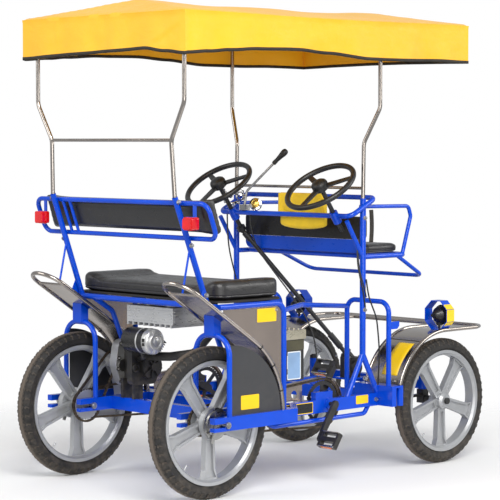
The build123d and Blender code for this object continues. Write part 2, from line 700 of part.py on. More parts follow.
def chain_guard():
    """Stainless plate behind the right pedal chain with a hood over it, standing on the rails."""
    ends = (0, rear_tyre_radius, rear_sprocket_radius + chain_guard_gap, crank_x, crank_z)
    outer = belt(*ends, chainring_radius + chain_guard_gap)
    inner = belt(0, rear_tyre_radius, ends[2] - chain_guard_sheet, crank_x, crank_z,
                 chainring_radius + chain_guard_gap - chain_guard_sheet)
    x0, x1, z0 = rail_jog_x + 1, crank_x + 2 * chainring_radius, rail_top + soft_gap
    keep = Pos((x0 + x1) / 2, z0 + 150) * Rectangle(x1 - x0, 300)
    back = crank_x - chainring_radius - chain_guard_gap
    plate_keep = Pos((x0 + back) / 2, z0 + 150) * Rectangle(back - x0, 300)
    y = chain_y - chain_guard_inner
    sheet = (outer & plate_keep) - Pos(back - 43, z0 + 25) * Circle(15)
    part = Plane.XZ.offset(y) * extrude(sheet, chain_guard_sheet)
    hood = Plane.XZ.offset(y) * extrude((outer - inner) & keep, chain_guard_hood)
    foot = block((back - 30, back), (-main_rail_y, -y), (z0, z0 + 2))
    return (hood + part + foot) - right_frame


def rear_fender():
    """Edge tubes and a stainless sheet over the right rear wheel, joined by a loop at the upper end."""
    radius, run = rear_fender_radius, rear_fender_run
    start, stop = radians(rear_fender_start), radians(rear_fender_stop)
    pts = [(rear_fender_x + radius * cos(a), rear_fender_z + radius * sin(a)) for a in (start, (start + stop) / 2, stop)]
    end = (pts[2][0] - run * sin(stop), pts[2][1] + run * cos(stop))
    y_in, y_out = rear_fender_y
    part = fender_strip(Wire([ThreePointArc(*pts), Line(pts[2], end)]), -y_in, -y_out)
    plane = Plane(origin=(end[0], 0, end[1]), x_dir=(0, 1, 0), z_dir=(cos(stop), 0, sin(stop)))
    half = (y_out - y_in) / 2
    mid = (y_in + y_out) / 2
    lip = plane * Pos(-mid, 0) * (Line((half, 0), (half, 1)) + ThreePointArc((half, 1), (0, half + 1), (-half, 1)))
    part += sweep(Plane(origin=lip @ 0, z_dir=lip % 0) * Circle(fender_tube), path=lip)
    part += rod_y(end[0], end[1], 5, -y_out, -y_in)
    x = pts[0][0]
    slot_top = chain_z(x) + 22
    return part - block((x - 70, x + 40), (-chain_y - 9, -chain_y + 9), (rail_low, slot_top))


def chain_z(x):
    """Top of the pedal chain's upper run at a place along X."""
    grow = chain_gap + chain_height
    low, high = rear_tyre_radius + rear_sprocket_radius, crank_z + chainring_radius
    return low + grow + (high - low) * x / crank_x


def front_fender():
    """Edge tubes and sheet over the right front wheel; the tubes run on to the bumper."""
    radius = front_fender_radius
    z0 = front_tyre_radius
    start = atan2(outrigger_top_z - z0, socket_x - wheelbase)
    pts = [(wheelbase + radius * cos(a), z0 + radius * sin(a)) for a in (start, (start + radians(90)) / 2, radians(90))]
    end = (bumper_x - bumper_setback, pts[2][1])
    y_in, y_out = front_fender_y
    keep = block((rail_front_x - 100, bumper_x + 200), (-2 * y_out, 2 * y_out), (outrigger_top_z, 2 * fender_top_z))
    return fender_strip(Wire([ThreePointArc(*pts), Line(pts[2], end)]), -y_in, -y_out) & keep


def bumper():
    """Tube across the front, with its ends turned back to the outer fender tubes, and the inner bar."""
    z = fender_top_z
    y_in, y_out = front_fender_y
    x = bumper_x - bumper_setback
    part = tube([(x, -y_out, z), (bumper_x, -y_out + 30, z), (bumper_x, y_out - 30, z), (x, y_out, z)], fender_tube, 40)
    return part + tube([(x, -y_in, z), (x, y_in, z)], fender_tube)


def fender_strip(path, y_in, y_out):
    """Two edge tubes and a sheet between them along a path drawn in XZ."""
    part = None
    for y in (y_in, y_out):
        wire = Pos(0, y, 0) * (Plane.XZ * path)
        edge = sweep(Plane(origin=wire @ 0, z_dir=wire % 0) * Circle(fender_tube), path=wire)
        part = edge if part is None else part + edge
    wire = Pos(0, (y_in + y_out) / 2, 0) * (Plane.XZ * path)
    plane = Plane(origin=wire @ 0, x_dir=(0, 1, 0), z_dir=wire % 0)
    return part + sweep(plane * Rectangle(abs(y_out - y_in), fender_sheet), path=wire)


def side_guard():
    """Dark quarter-round plate outside the right rear wheel."""
    z0 = rail_top + 0.3
    x0 = cage_x + slim_tube + 0.3
    radius = side_guard_radius
    outline = (Line((x0, z0), (x0 + radius, z0)) + RadiusArc((x0 + radius, z0), (x0, z0 + radius), -radius)
               + Line((x0, z0 + radius), (x0, z0)))
    return Plane.XZ.offset(outer_rail_y - 8) * extrude(make_face(outline), 2)


def side_panel():
    """Stainless panel under the bench inside the right side hoop, cut along the fender."""
    x = (cage_x + 12, seat_front_x)
    z = (rail_top + 30, seat_tube_z)
    face = make_face(Polyline((x[0], z[0]), (x[1], z[0]), (x[1], z[1]), (x[0], z[1]), close=True))
    radius = rear_fender_radius + fender_tube + soft_gap
    centre = Pos(rear_fender_x, rear_fender_z)
    face -= centre * Circle(radius)
    face -= centre * Rot(0, 0, rear_fender_stop) * Pos(0, 300) * Rectangle(2 * radius, 600)
    panel = Plane.XZ.offset(hoop_y - 1) * extrude(face, 2)
    clear = tube([(seat_rear_x - 200, -hoop_y, seat_tube_z), (seat_front_x, -hoop_y, seat_tube_z),
                  (seat_front_x, -hoop_y, rail_top)], frame_tube + soft_gap, bend)
    beyond = block((seat_front_x, seat_front_x + 200), (-2 * hoop_y, 0), (rail_low, seat_tube_z + 100))
    return (panel - clear - beyond).solids().sort_by(SortBy.VOLUME)[-1]


def joggle_z(foot):
    """Heights where a canopy post steps outwards, from the height of its foot."""
    middle = (foot + canopy_tube_z) / 2 - 50
    return middle - joggle_half, middle + joggle_half


def canopy_posts_rear():
    x, y, z = back_x(back_top_z), post_y - back_tube_splay, back_top_z
    low, high = joggle_z(z)
    part = None
    for side in (-1, 1):
        leg = tube([(x, side * y, z + 0.3), (x - 9, side * (y - 8), low), (x - 15, side * canopy_post_y, high),
                    (x - 15, side * canopy_post_y, canopy_tube_z - thin_tube - 1)], thin_tube, 60)
        part = leg if part is None else part + leg
    return part + tube([(x - 9, -y + 8, low), (x - 9, y - 8, low)], thin_tube - 2) - back


def canopy_posts_front():
    part = None
    low, high = joggle_z(post_top_z)
    x = post_x + canopy_post_step
    for side in (-1, 1):
        leg = tube([(post_x, side * post_y, post_top_z + 0.3), (post_x + 4, side * post_y, low),
                    (x, side * canopy_post_y, high), (x, side * canopy_post_y, canopy_tube_z - thin_tube - 1)],
                   thin_tube, 60)
        part = leg if part is None else part + leg
    cross_z = post_top_z + 40
    return part + tube([(post_x, -post_y, cross_z), (post_x, post_y, cross_z)], thin_tube - 2)


def canopy_frame():
    """Side tubes, end tubes and raised bows that carry the cloth."""
    x0, x1 = canopy_x[0] + canopy_end_gap, canopy_x[1] - canopy_end_gap
    y, z = canopy_post_y, canopy_tube_z
    frame = ring_tube([(x0, -y, z), (x1, -y, z), (x1, y, z), (x0, y, z)], thin_tube, 40)
    ridge = canopy_ridge_z - cloth - thin_tube - 4
    for x in (canopy_ridge[0] + 30, (x0 + x1) / 2, canopy_ridge[1] - 30):
        frame += tube([(x, -y, z), (x, 0, ridge), (x, y, z)], thin_tube - 2, 300)
    return frame


def canopy():
    """Cloth shell with a low hipped top and a valance, open below."""
    def shell(inset, low):
        x0, x1 = canopy_x[0] + inset, canopy_x[1] - inset
        y = canopy_post_y + canopy_overhang - inset
        edge_z = canopy_tube_z + canopy_edge_rise - inset
        walls = block((x0, x1), (-y, y), (low, edge_z))
        base = Plane.XY.offset(edge_z) * Pos((x0 + x1) / 2, 0) * Rectangle(x1 - x0, 2 * y)
        r0, r1 = canopy_ridge
        ridge = Plane.XY.offset(canopy_ridge_z - inset) * Pos((r0 + r1) / 2, 0) * Rectangle(r1 - r0, 30)
        return walls + loft([base, ridge], ruled=True)
    hem = canopy_tube_z - canopy_hem_drop
    return shell(0, hem) - shell(cloth, hem - 1)


def bench_cushion():
    low = seat_tube_z + frame_tube + seat_board + soft_gap
    part = block(bench_x, (-hoop_y + 13, hoop_y - 13), (low, low + bench_height))
    part = fillet(part.edges().filter_by(Axis.Z), bench_corner)
    return fillet(part.faces().sort_by(Axis.Z)[-1].edges(), bench_crown)


def backrest_pad():
    low, high = back_ring_z[0] + 8, back_ring_z[1] + 22
    step = 2 * frame_tube + 18
    x0, x1 = back_x(low) + step, back_x(high) + step
    half = hoop_y + pad_overhang
    outline = [(x0, low), (x0 + pad_thickness, low), (x1 + pad_thickness, high), (x1, high)]
    part = plate(outline, -half, 2 * half)
    return fillet(part.faces().sort_by(Axis.X)[-1].edges(), 14)


def engine():
    """Silver crankcase with its bolts, black fan housing, finned barrel, sprocket and feet."""
    cx, cz = engine_centre
    y0, y1 = engine_y
    face = make_hull([*(Pos(cx, cz + 50) * Circle(38)).edges(), *(Pos(cx + 2, cz - 5) * Circle(49)).edges(),
                      *(Pos(cx + 8, cz - 52) * Circle(40)).edges()])
    part = Plane.XZ.offset(-y1) * extrude(face, engine_case)
    for x, z in ((-26, 74), (28, 70), (-36, 18), (-40, -24), (-26, -74), (14, -84), (44, -30)):
        part += rod_y(cx + x, cz + z, 7.5, y1 - engine_case - 7, y1 - engine_case)
    part += rod_y(cx - 12, cz - 12, 24, y1 - engine_case - 5, y1 - engine_case)
    front = (cx - 56, cx + 70)
    body = block(front, (y0, y1 - engine_case), (cz - 80, cz + 76))
    body = fillet(body.edges().filter_by(Axis.Y), 22)
    body -= block((cx - 60, cx - 8), (y0 + 30, y1 - engine_case), (cz - 90, cz + 90))
    part += body
    part += rod_y(cx + 30, cz - 10, 48, y0 - 22, y0)
    for k in range(8):
        rib = block((8, 45), (y0 - 28, y0 - 20), (-2.5, 2.5))
        part += Pos(cx + 30, 0, cz - 10) * Rot(0, 45 * k + 12, 0) * rib
    part += rod_y(cx + 30, cz - 10, 14, y0 - 32, y0 - 20)
    part += rod_y(cx - 39, cz - 12, 16, y0 - 9, y0 + 1) - rod_y(cx - 39, cz - 12, 11, y0 - 10, y0)
    barrel = Pos(cx + 69, y0 + 62, cz + 62) * Rot(0, 40, 0)
    part += barrel * Cylinder(33, 110)
    for k in range(6):
        part += barrel * Pos(0, 0, -2 + 10 * k) * Box(88, 92, 3)
    part += barrel * Pos(0, 0, 62) * Cylinder(20, 16)
    shaft_x, shaft_z = cx, cz
    part += rod_y(shaft_x, shaft_z, 9, y1 - 5, engine_chain_y + 6)
    part += Pos(shaft_x, engine_chain_y, shaft_z) * sprocket(engine_sprocket_radius, engine_sprocket_teeth)
    for y in (y0 + 14, y1 - engine_case - 24):
        part += block((engine_foot_x - 22, engine_foot_x + 22), (y, y + 14), (rail_top, cz - 60))
    return part


def intake_hose():
    """Bent rubber hose from the engine up to the board under the bench."""
    cx, cz = engine_centre
    y0 = engine_y[0]
    return tube([(cx + 10, y0 - 10, cz + 30), (cx + 8, y0 - 150, cz + 40), (cx + 22, y0 - 270, cz + 60),
                 (cx + 50, y0 - 345, cz + 150), (cx + 50, y0 - 345, seat_tube_z + frame_tube - soft_gap)], 17, 40)


def headlamp():
    """Cone-backed lamp body with its rim, rear gland and stalk, right side."""
    x, y, z = headlamp_at
    profile = [(0, -46), (6, -46), (8, -34), (13, -31), (31, -8), (37, 12), (39, 14), (39, 22), (33, 26), (0, 30)]
    body = revolve(make_face(Polyline(*profile, close=True)), Axis.Y)
    part = Pos(x, -y, z) * Rot(0, 0, -90) * body
    return part + rod_z(x, -y, 5, z - guard_radius + 8, z - 20) + block((x - 9, x + 9), (-y - 9, -y + 9), (z - 42, z - 30))


def lamp_guard():
    """Octagonal strap round the right headlamp, standing on the fender's sheet."""
    x, y, z = headlamp_at
    outer = RegularPolygon(guard_radius, 8, rotation=22.5)
    inner = RegularPolygon(guard_radius - 3, 8, rotation=22.5)
    ring = Pos(x, -y, z) * Rot(0, 90, 0) * (extrude(outer, 22, both=True) - extrude(inner, 23, both=True))
    foot_top = z - guard_radius * cos(radians(22.5)) + 2.5
    return ring + block((x - 22, x + 22), (-y - 20, -y + 20), (fender_top_z + fender_sheet / 2, foot_top))


def tail_lamp():
    """Red block lamp on a tab at the backrest frame's corner, right side."""
    z = 1008.0
    x = back_x(z) + 20
    y = hoop_y + 4
    lamp = block((x - 62, x - 30), (-y - 25, -y + 25), (z - 24, z + 22))
    lamp = fillet(lamp.edges().filter_by(Axis.X), 8)
    lamp += block((x - 66, x - 62), (-y - 19, -y + 19), (z - 18, z + 16))
    return lamp + block((x - 30, x - 26), (-y - 8, -y + 8), (z - 10, back_ring_z[1])) - back


def battery_box():
    """Dark box beside the bench leg with a lid."""
    x0 = seat_front_x + frame_tube + soft_gap
    y = (-hoop_y + 17, -hoop_y + 135)
    top = 556
    body = block((x0 + 5, x0 + 115), y, (402, top))
    body = fillet(body.edges().filter_by(Axis.Z), 4)
    for z in (430, 500):
        body += block((x0 - 0.1, x0 + 6), (y[0] - 22, y[0] + 30), (z, z + 20))
    lid = block((x0, x0 + 120), (y[0] - 5, y[1] + 5), (top, top + 36))
    return body, chamfer(lid.faces().sort_by(Axis.Z)[-1].edges(), 2)


def control_box():
    """Ribbed controller case hung under the bench."""
    x, y = (60, 240), (-121, 144)
    body = block(x, y, (612, 675))
    for k in range(9):
        rib_y = y[0] + 9 + 31 * k
        body += block(x, (rib_y, rib_y + 8), (600, 612))
    for z in (622, 634, 646, 658):
        body += block((x[0] - 3, x[0]), (y[0] + 6, y[1] - 6), (z, z + 5))
        body += block((x[0] + 6, x[1] - 6), (y[0] - 3, y[0]), (z, z + 5))
    seat_low = seat_tube_z + frame_tube
    return body + block((100, 200), (-60, -40), (675, seat_low)) + block((100, 200), (60, 80), (675, seat_low))


def seat_pan():
    """Board under the bench cushion."""
    low = seat_tube_z + frame_tube
    return block((bench_x[0] + 4, bench_x[1] - 6), (-hoop_y + 17, hoop_y - 17), (low, low + seat_board))


def child_panels():
    """Upper and lower back panels of the child seat."""
    x = post_x + child_panel_x
    y = post_y - 26
    upper = block((x, x + 22), (-y, y), (912, 1002))
    upper = fillet(upper.edges().filter_by(Axis.X), 20)
    lower = block((x, x + 2), (-y, y), (child_seat_z + 12, 911.6))
    lower = fillet(lower.edges().filter_by(Axis.X).sort_by(Axis.Z)[:2], 30)
    return group(upper, lower)


def child_cushion():
    low = child_seat_z + slim_tube + soft_gap
    part = block((post_x + child_cushion_x, post_x + child_seat_length - 4), (-post_y + 34, post_y - 34),
                 (low, low + child_cushion_height))
    part = fillet(part.edges().filter_by(Axis.Z), 30)
    return fillet(part.faces().sort_by(Axis.Z)[-1].edges(), 10)


def lever():
    """Long control lever with a grip, on a clamp at the dash between the two columns."""
    x, z = post_x + dash_rear_x, dash_z[0]
    part = tube([(x - 6, 222, z + 20), (x + 2, 215, z + 87), (x + 86, 112, z + 223)], 5, 30)
    part += block((x - 16, x + 12), (206, 238), (z + slim_tube + 0.3, z + 32))
    grip = Plane(origin=(x + 86, 112, z + 223), z_dir=(84, -103, 136))
    part += grip * Cylinder(8, 60)
    return part + grip * Pos(0, 0, 30) * Sphere(13)


def bag():
    """Soft bag hanging on the dash."""
    x = post_x + dash_rear_x + slim_tube + soft_gap
    part = block((x, x + 44), (-215, 50), (947, 1094))
    part = fillet(part.edges().filter_by(Axis.Z), 15)
    return fillet(part.faces().sort_by(Axis.Z)[0].edges(), 14)


def canister():
    """Engine silencer: a black drum with a ringed end cap towards the right."""
    x, z = silencer_centre
    y0, y1 = silencer_y
    r = silencer_radius
    profile = [(0, y0), (13, y0), (13, y0 + 5), (23, y0 + 5), (23, y0 + 2), (30, y0 + 2), (30, y0 + 8), (36, y0 + 10),
               (r, y0 + 14), (r, y0 + 34), (r + 2, y0 + 34), (r + 2, y0 + 38), (r, y0 + 38), (r, y1), (0, y1)]
    part = revolve_y(profile, x, 0, z)
    cx, cz = engine_centre
    pipe = tube([(x + 4, y1 - 60, z - r + 8), (x + 14, y1 - 60, z - r - 20), (cx - 20, engine_y[0] + 6, cz + 20)], 9, 14)
    return part + pipe - motor


right_frame = side_frame()
put("side_frame_right", right_frame)
put("side_frame_left", mirrored(right_frame))
side_hoops = both(side_hoop())
put("side_hoops", side_hoops)
seat = seat_frame()
put("seat_frame", seat)
fenders_rear = both(rear_fender())
put("rear_fenders", fenders_rear)
back = back_frame()
put("back_frame", back)
posts = front_posts()
put("front_posts", posts)
dash = dash_frame()
put("dash_frame", dash)
put("child_seat_frame", child_seat_frame())
put("front_hoops", front_hoops())
put("front_axle_beam", front_axle_beam())
put("cross_members", cross_members())
put("rear_axles", both(rear_axle()))
put("wheel_cages", both(cage()))
fenders_front = both(front_fender()) + bumper()
put("front_fenders", fenders_front)
put("side_guards", both(side_guard()))
put("side_panels", both(side_panel()))
put("chain_guards", both(chain_guard()))
put("canopy_posts_rear", canopy_posts_rear())
put("canopy_posts_front", canopy_posts_front())
put("canopy_frame", canopy_frame())
put("canopy", canopy())
put("bench_cushion", bench_cushion())
put("backrest_pad", backrest_pad())
motor = engine()
put("engine", motor)
put("intake_hose", intake_hose() - motor)
put("canister", canister())
put("headlamps", both(headlamp()))
put("lamp_guards", both(lamp_guard()) - fenders_front)
put("tail_lamps", both(tail_lamp()))
battery_body, battery_lid = battery_box()
put("battery_box", battery_body)
put("battery_lid", battery_lid)
put("control_box", control_box())
put("seat_pan", seat_pan())
put("child_panels", child_panels())
put("child_cushion", child_cushion())
put("lever", lever())
put("bag", bag())
put("steering_box", steering_box())
put("pitman_arm", pitman())
put("driver_steering", column(column_y))
put("passenger_steering", column(-column_y))
put("intermediate_shaft", intermediate_shaft())
right_knuckle = knuckle()
put("knuckle_right", right_knuckle)
put("knuckle_left", mirrored(right_knuckle))
put("track_rod", track_rod())
put("crank_set_right", crank_set(-1, 124))
put("crank_set_left", crank_set(1, 27))
chain = chain_loop(0, rear_tyre_radius, rear_sprocket_radius, crank_x, crank_z, chainring_radius, -chain_y)
put("pedal_chain_right", chain)
put("pedal_chain_left", mirrored(chain))
put("engine_chain", chain_loop(0, rear_tyre_radius, engine_driven_radius, *engine_centre, engine_sprocket_radius,
                               engine_chain_y))
pedal_sprocket = (chain_offset, rear_sprocket_radius, rear_sprocket_teeth)
engine_driven = (engine_chain_offset, engine_driven_radius, engine_driven_teeth)
for name, side, track, tyre, rim, x, sprockets in (
        ("rear_right", -1, rear_track, rear_tyre_radius, rear_rim_radius, 0, [pedal_sprocket]),
        ("rear_left", 1, rear_track, rear_tyre_radius, rear_rim_radius, 0, [pedal_sprocket, engine_driven]),
        ("front_right", -1, front_track, front_tyre_radius, front_rim_radius, wheelbase, []),
        ("front_left", 1, front_track, front_tyre_radius, front_rim_radius, wheelbase, [])):
    tyre_shape, wheel_shape = wheel(track, tyre, rim, x, side, sprockets)
    put(f"tyre_{name}", tyre_shape)
    put(f"wheel_{name}", wheel_shape)
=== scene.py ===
from math import asin, atan2, cos, exp, hypot, pi, radians, sin, sqrt, tau

import bmesh
import bpy
from mathutils import Matrix, Vector, noise


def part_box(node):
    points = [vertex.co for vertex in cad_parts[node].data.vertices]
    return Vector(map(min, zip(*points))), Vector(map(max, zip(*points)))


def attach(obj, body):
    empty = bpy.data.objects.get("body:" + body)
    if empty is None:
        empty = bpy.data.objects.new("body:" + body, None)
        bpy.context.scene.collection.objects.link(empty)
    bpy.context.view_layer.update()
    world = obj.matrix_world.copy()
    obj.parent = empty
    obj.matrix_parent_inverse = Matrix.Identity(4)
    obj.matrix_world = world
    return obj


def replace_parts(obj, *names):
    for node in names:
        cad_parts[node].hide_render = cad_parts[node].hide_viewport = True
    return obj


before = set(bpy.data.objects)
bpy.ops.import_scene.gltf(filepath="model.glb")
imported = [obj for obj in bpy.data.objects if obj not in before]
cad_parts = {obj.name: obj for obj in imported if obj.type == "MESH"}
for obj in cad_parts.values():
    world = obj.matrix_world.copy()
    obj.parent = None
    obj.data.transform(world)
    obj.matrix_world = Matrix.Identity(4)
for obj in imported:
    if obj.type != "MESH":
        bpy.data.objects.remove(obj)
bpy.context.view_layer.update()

bl_info = {
    "name": "Four-wheel surrey",
    "version": (1, 0, 0),
    "blender": (4, 5, 0),
    "location": "3D View > Sidebar > Surrey",
    "description": "Dresses the packed surrey with its cloth, cushions, tread, chains, fittings and finishes",
    "category": "Add Mesh",
}

# The layout is drawn in millimetres from the rear axle, and the row frame starts at the middle of the length.
REAR_AXLE_X = 614.5

# Wheels: place along and across, radius, which is the axle's height too, and body.
WHEELS = {
    "rear_right": (0, -380, 279, "rear_right_wheel"),
    "rear_left": (0, 380, 279, "rear_left_wheel"),
    "front_right": (1250, -403, 252, "front_right_wheel"),
    "front_left": (1250, 403, 252, "front_left_wheel"),
}

# Places along and above the ground, in layout millimetres.
FRONT_AXLE = (1250, 252)
CRANK_AXLE = (638, 290)
ENGINE_SHAFT = (121, 443)
POST_X = 840


def row(x, y, z):
    """A layout point in millimetres as a point of the row frame in metres."""
    return Vector(((x - REAR_AXLE_X) / 1000, y / 1000, z / 1000))


class SurreySizes(bpy.types.PropertyGroup):
    tread_rows: bpy.props.IntProperty(
        name="Tread blocks", description="Blocks round each row of a tyre's tread", default=50, min=20, max=90)
    tread_height: bpy.props.FloatProperty(
        name="Tread height", description="Height of a tread block", default=0.0042, unit="LENGTH")
    chain_pitch: bpy.props.FloatProperty(
        name="Chain pitch", description="Distance between a chain's pins", default=0.0127, unit="LENGTH")
    bolt_across: bpy.props.FloatProperty(
        name="Bolt head", description="Width of a frame bolt's hexagon", default=0.013, unit="LENGTH")
    cushion_swell: bpy.props.FloatProperty(
        name="Cushion swell", description="Furthest that a cushion's cover stands out", default=0.009,
        unit="LENGTH")
    cushion_voxel: bpy.props.FloatProperty(
        name="Cushion mesh", description="Size of a cushion's mesh cells before it is filled", default=0.008,
        unit="LENGTH")
    valance_steps: bpy.props.IntProperty(
        name="Valance rows", description="Rows of mesh down the canopy's valance", default=12, min=4, max=24)
    hem_height: bpy.props.FloatProperty(
        name="Hem height", description="Height of the black binding on the canopy's hem", default=0.012,
        unit="LENGTH")
    roof_sag: bpy.props.FloatProperty(
        name="Roof sag", description="Sag of the canopy's cloth between its bows", default=0.007, unit="LENGTH")


def colour(label, text, value):
    return bpy.props.FloatVectorProperty(name=label, description=text, default=value, subtype="COLOR", size=3,
                                         min=0.0, max=1.0)


class SurreyColours(bpy.types.PropertyGroup):
    paint: colour("Frame paint", "Gloss enamel on tubes and rails", (0.0, 0.066, 0.62))
    canopy: colour("Canopy cloth", "Coated yellow cloth", (0.98, 0.50, 0.0))
    binding: colour("Binding", "Black tape along the hem", (0.022, 0.018, 0.012))
    vinyl: colour("Seat vinyl", "Black upholstery", (0.022, 0.021, 0.021))
    wheel: colour("Wheel paint", "Silver powder coat on the cast wheels", (0.43, 0.44, 0.455))
    rubber: colour("Tyre rubber", "Road-worn tyre rubber", (0.0105, 0.0095, 0.009))
    # The stainless colour is the steel's own grey plus a painted reflection: its warm brown tint stands in for a
    # reflected brown ground.
    steel: colour("Stainless steel", "Brushed fenders and tubes", (0.46, 0.415, 0.375))
    dark: colour("Dark steel", "Black painted steel", (0.016, 0.016, 0.017))
    lens: colour("Lens red", "Tail lamp lens", (0.75, 0.006, 0.008))
    label: colour("Label yellow", "Blank stick-on labels", (0.93, 0.60, 0.003))


def sizes():
    return bpy.context.scene.surrey_sizes


def colours():
    return bpy.context.scene.surrey_colours


# Nodes of a material

class Graph:
    """Adds nodes to one tree; a value that is a socket is linked, and any other is set."""

    def __init__(self, tree):
        self.tree = tree

    def feed(self, socket, value):
        if isinstance(value, bpy.types.NodeSocket):
            self.tree.links.new(value, socket)
        else:
            socket.default_value = value

    def add(self, kind, inputs=None, **settings):
        node = self.tree.nodes.new(kind)
        for name, value in settings.items():
            setattr(node, name, value)
        for socket, value in (inputs or {}).items():
            self.feed(node.inputs[socket], value)
        return node

    def math(self, operation, a, b=0.0, clamp=False):
        return self.add("ShaderNodeMath", {0: a, 1: b}, operation=operation, use_clamp=clamp).outputs[0]

    def blend(self, factor, a, b, kind="MIX"):
        return self.add("ShaderNodeMix", {0: factor, 6: a, 7: b}, data_type="RGBA", blend_type=kind).outputs[2]

    def remap(self, value, low, high, to_low=0.0, to_high=1.0):
        return self.add("ShaderNodeMapRange", {0: value, 1: low, 2: high, 3: to_low, 4: to_high}).outputs[0]

    def spot(self, scale=(1, 1, 1)):
        """The place on the object, with its axes scaled."""
        where = self.add("ShaderNodeTexCoord").outputs["Object"]
        return self.add("ShaderNodeMapping", {"Vector": where, "Scale": scale}).outputs[0]

    def axes(self):
        """The X, Y and Z of the place on the object."""
        return self.add("ShaderNodeSeparateXYZ", {0: self.add("ShaderNodeTexCoord").outputs["Object"]}).outputs

    def length(self, a, b):
        return self.math("SQRT", self.math("ADD", self.math("MULTIPLY", a, a), self.math("MULTIPLY", b, b)))

    def noise(self, where, scale, detail, **more):
        inputs = {"Vector": where, "Scale": scale, "Detail": detail, **more}
        return self.add("ShaderNodeTexNoise", inputs).outputs[0]

    def use(self, name, inputs):
        return self.add("ShaderNodeGroup", inputs, node_tree=group(name)).outputs


FLOAT, COLOUR = "NodeSocketFloat", "NodeSocketColor"
WHITE = (1, 1, 1, 1)


def new_group(name, inputs, output, kind):
    """A node group with named sockets: the graph inside it, what comes in and the socket that goes out."""
    tree = bpy.data.node_groups.new(name, "ShaderNodeTree")
    for label, value in inputs.items():
        socket = tree.interface.new_socket(name=label, in_out="INPUT",
                                           socket_type=COLOUR if isinstance(value, tuple) else FLOAT)
        socket.default_value = value
    for label in output.split():
        tree.interface.new_socket(name=label, in_out="OUTPUT", socket_type=kind)
    graph = Graph(tree)
    return graph, graph.add("NodeGroupInput").outputs, graph.add("NodeGroupOutput").inputs


def mottle_group():
    """Uneven colour: a base colour made lighter and darker in soft patches."""
    g, given, out = new_group("Mottle", {"Colour": WHITE, "Scale": 8.0, "Amount": 0.15}, "Colour", COLOUR)
    mask = g.remap(g.noise(g.spot(), given["Scale"], 5.0), 0.32, 0.68)
    level = g.math("SUBTRACT", 1.0, g.math("MULTIPLY", mask, given["Amount"]))
    shade = g.add("ShaderNodeCombineColor", {0: level, 1: level, 2: level}).outputs[0]
    g.feed(out["Colour"], g.blend(1.0, given["Colour"], shade, "MULTIPLY"))
    return g.tree


def dust_group():
    """Road dust that thins out with height above the ground."""
    g, given, out = new_group("Road dust", {"Colour": WHITE, "Dust": (0.30, 0.24, 0.18, 1), "Top": 0.6,
                                            "Amount": 0.2}, "Colour", COLOUR)
    low = g.math("SUBTRACT", 1.0, g.math("DIVIDE", g.axes()[2], given["Top"]), clamp=True)
    grains = g.remap(g.noise(g.spot(), 38.0, 7.0), 0.38, 0.66)
    mask = g.math("MULTIPLY", g.math("MULTIPLY", low, grains), given["Amount"], clamp=True)
    g.feed(out["Colour"], g.blend(mask, given["Colour"], given["Dust"]))
    return g.tree


def scuff_group():
    """Small scratches and rub marks that change the gloss."""
    g, given, out = new_group("Scuffs", {"Scale": 30.0, "Low": 0.2, "High": 0.4}, "Roughness", FLOAT)
    mask = g.remap(g.noise(g.spot((1, 1, 3)), given["Scale"], 8.0, Roughness=0.7), 0.35, 0.7)
    spread = g.math("SUBTRACT", given["High"], given["Low"])
    g.feed(out["Roughness"], g.math("ADD", given["Low"], g.math("MULTIPLY", mask, spread)))
    return g.tree


def relief_group(kind):
    """Height of a surface's small relief: enamel peel, vinyl grain, brushing, weave, casting or rubber."""
    g, given, out = new_group(f"Relief {kind}", {"Scale": 1.0}, "Height", FLOAT)
    stretch = (1, 40, 1) if kind == "brush" else (1, 1, 1)
    spot = g.add("ShaderNodeVectorMath", {0: g.spot(stretch), "Scale": given["Scale"]}, operation="SCALE").outputs[0]
    if kind == "peel":
        height = g.noise(spot, 160.0, 2.0)
    elif kind == "grain":
        cells = g.add("ShaderNodeTexVoronoi", {"Vector": spot, "Scale": 420.0}, feature="SMOOTH_F1").outputs[0]
        height = g.math("ADD", cells, g.math("MULTIPLY", g.noise(spot, 60.0, 4.0), 1.2))
    elif kind == "brush":
        height = g.noise(spot, 26.0, 6.0)
    elif kind == "weave":
        warp, weft = (g.add("ShaderNodeTexWave", {"Vector": spot, "Scale": 260.0}, bands_direction=way).outputs[1]
                      for way in ("DIAGONAL", "Z"))
        threads = g.math("MULTIPLY", g.math("MAXIMUM", warp, weft), 0.12)
        creases = g.math("MULTIPLY", g.noise(spot, 9.0, 3.0, Distortion=1.4), 2.4)
        height = g.math("ADD", threads, creases)
    elif kind == "cast":
        sand = g.noise(spot, 300.0, 6.0, Roughness=0.75)
        height = g.math("ADD", sand, g.math("MULTIPLY", g.noise(spot, 24.0, 3.0), 1.5))
    else:
        height = g.noise(spot, 700.0, 5.0, Roughness=0.7)
    g.feed(out["Height"], height)
    return g.tree


def sidewall_group():
    """Rings moulded on a tyre's side and bars over its shoulder, from the axle's place."""
    g, given, out = new_group("Sidewall", {"Axle X": 0.0, "Axle Z": 0.279, "Radius": 0.279}, "Height Outside", FLOAT)
    x, _, z = g.axes()
    dx, dz = g.math("SUBTRACT", x, given["Axle X"]), g.math("SUBTRACT", z, given["Axle Z"])
    inward = g.math("SUBTRACT", given["Radius"], g.length(dx, dz))
    rings = g.math("MULTIPLY", g.math("SINE", g.math("MULTIPLY", inward, 1500.0)), g.remap(inward, 0.016, 0.022))
    turn = g.math("MULTIPLY", g.math("ARCTAN2", dz, dx), 60.0)
    bars = g.math("SINE", g.math("ADD", turn, g.math("MULTIPLY", inward, 260.0)))
    shoulder = g.math("MULTIPLY", g.remap(inward, 0.010, 0.014), g.remap(inward, 0.026, 0.030, 1.0, 0.0))
    g.feed(out["Height"], g.math("ADD", g.math("MULTIPLY", rings, 0.35), g.math("MULTIPLY", bars, shoulder)))
    g.feed(out["Outside"], g.remap(inward, 0.0006, 0.0042, 1.0, 0.0))
    return g.tree


GROUPS = {}
FINISHES = {}


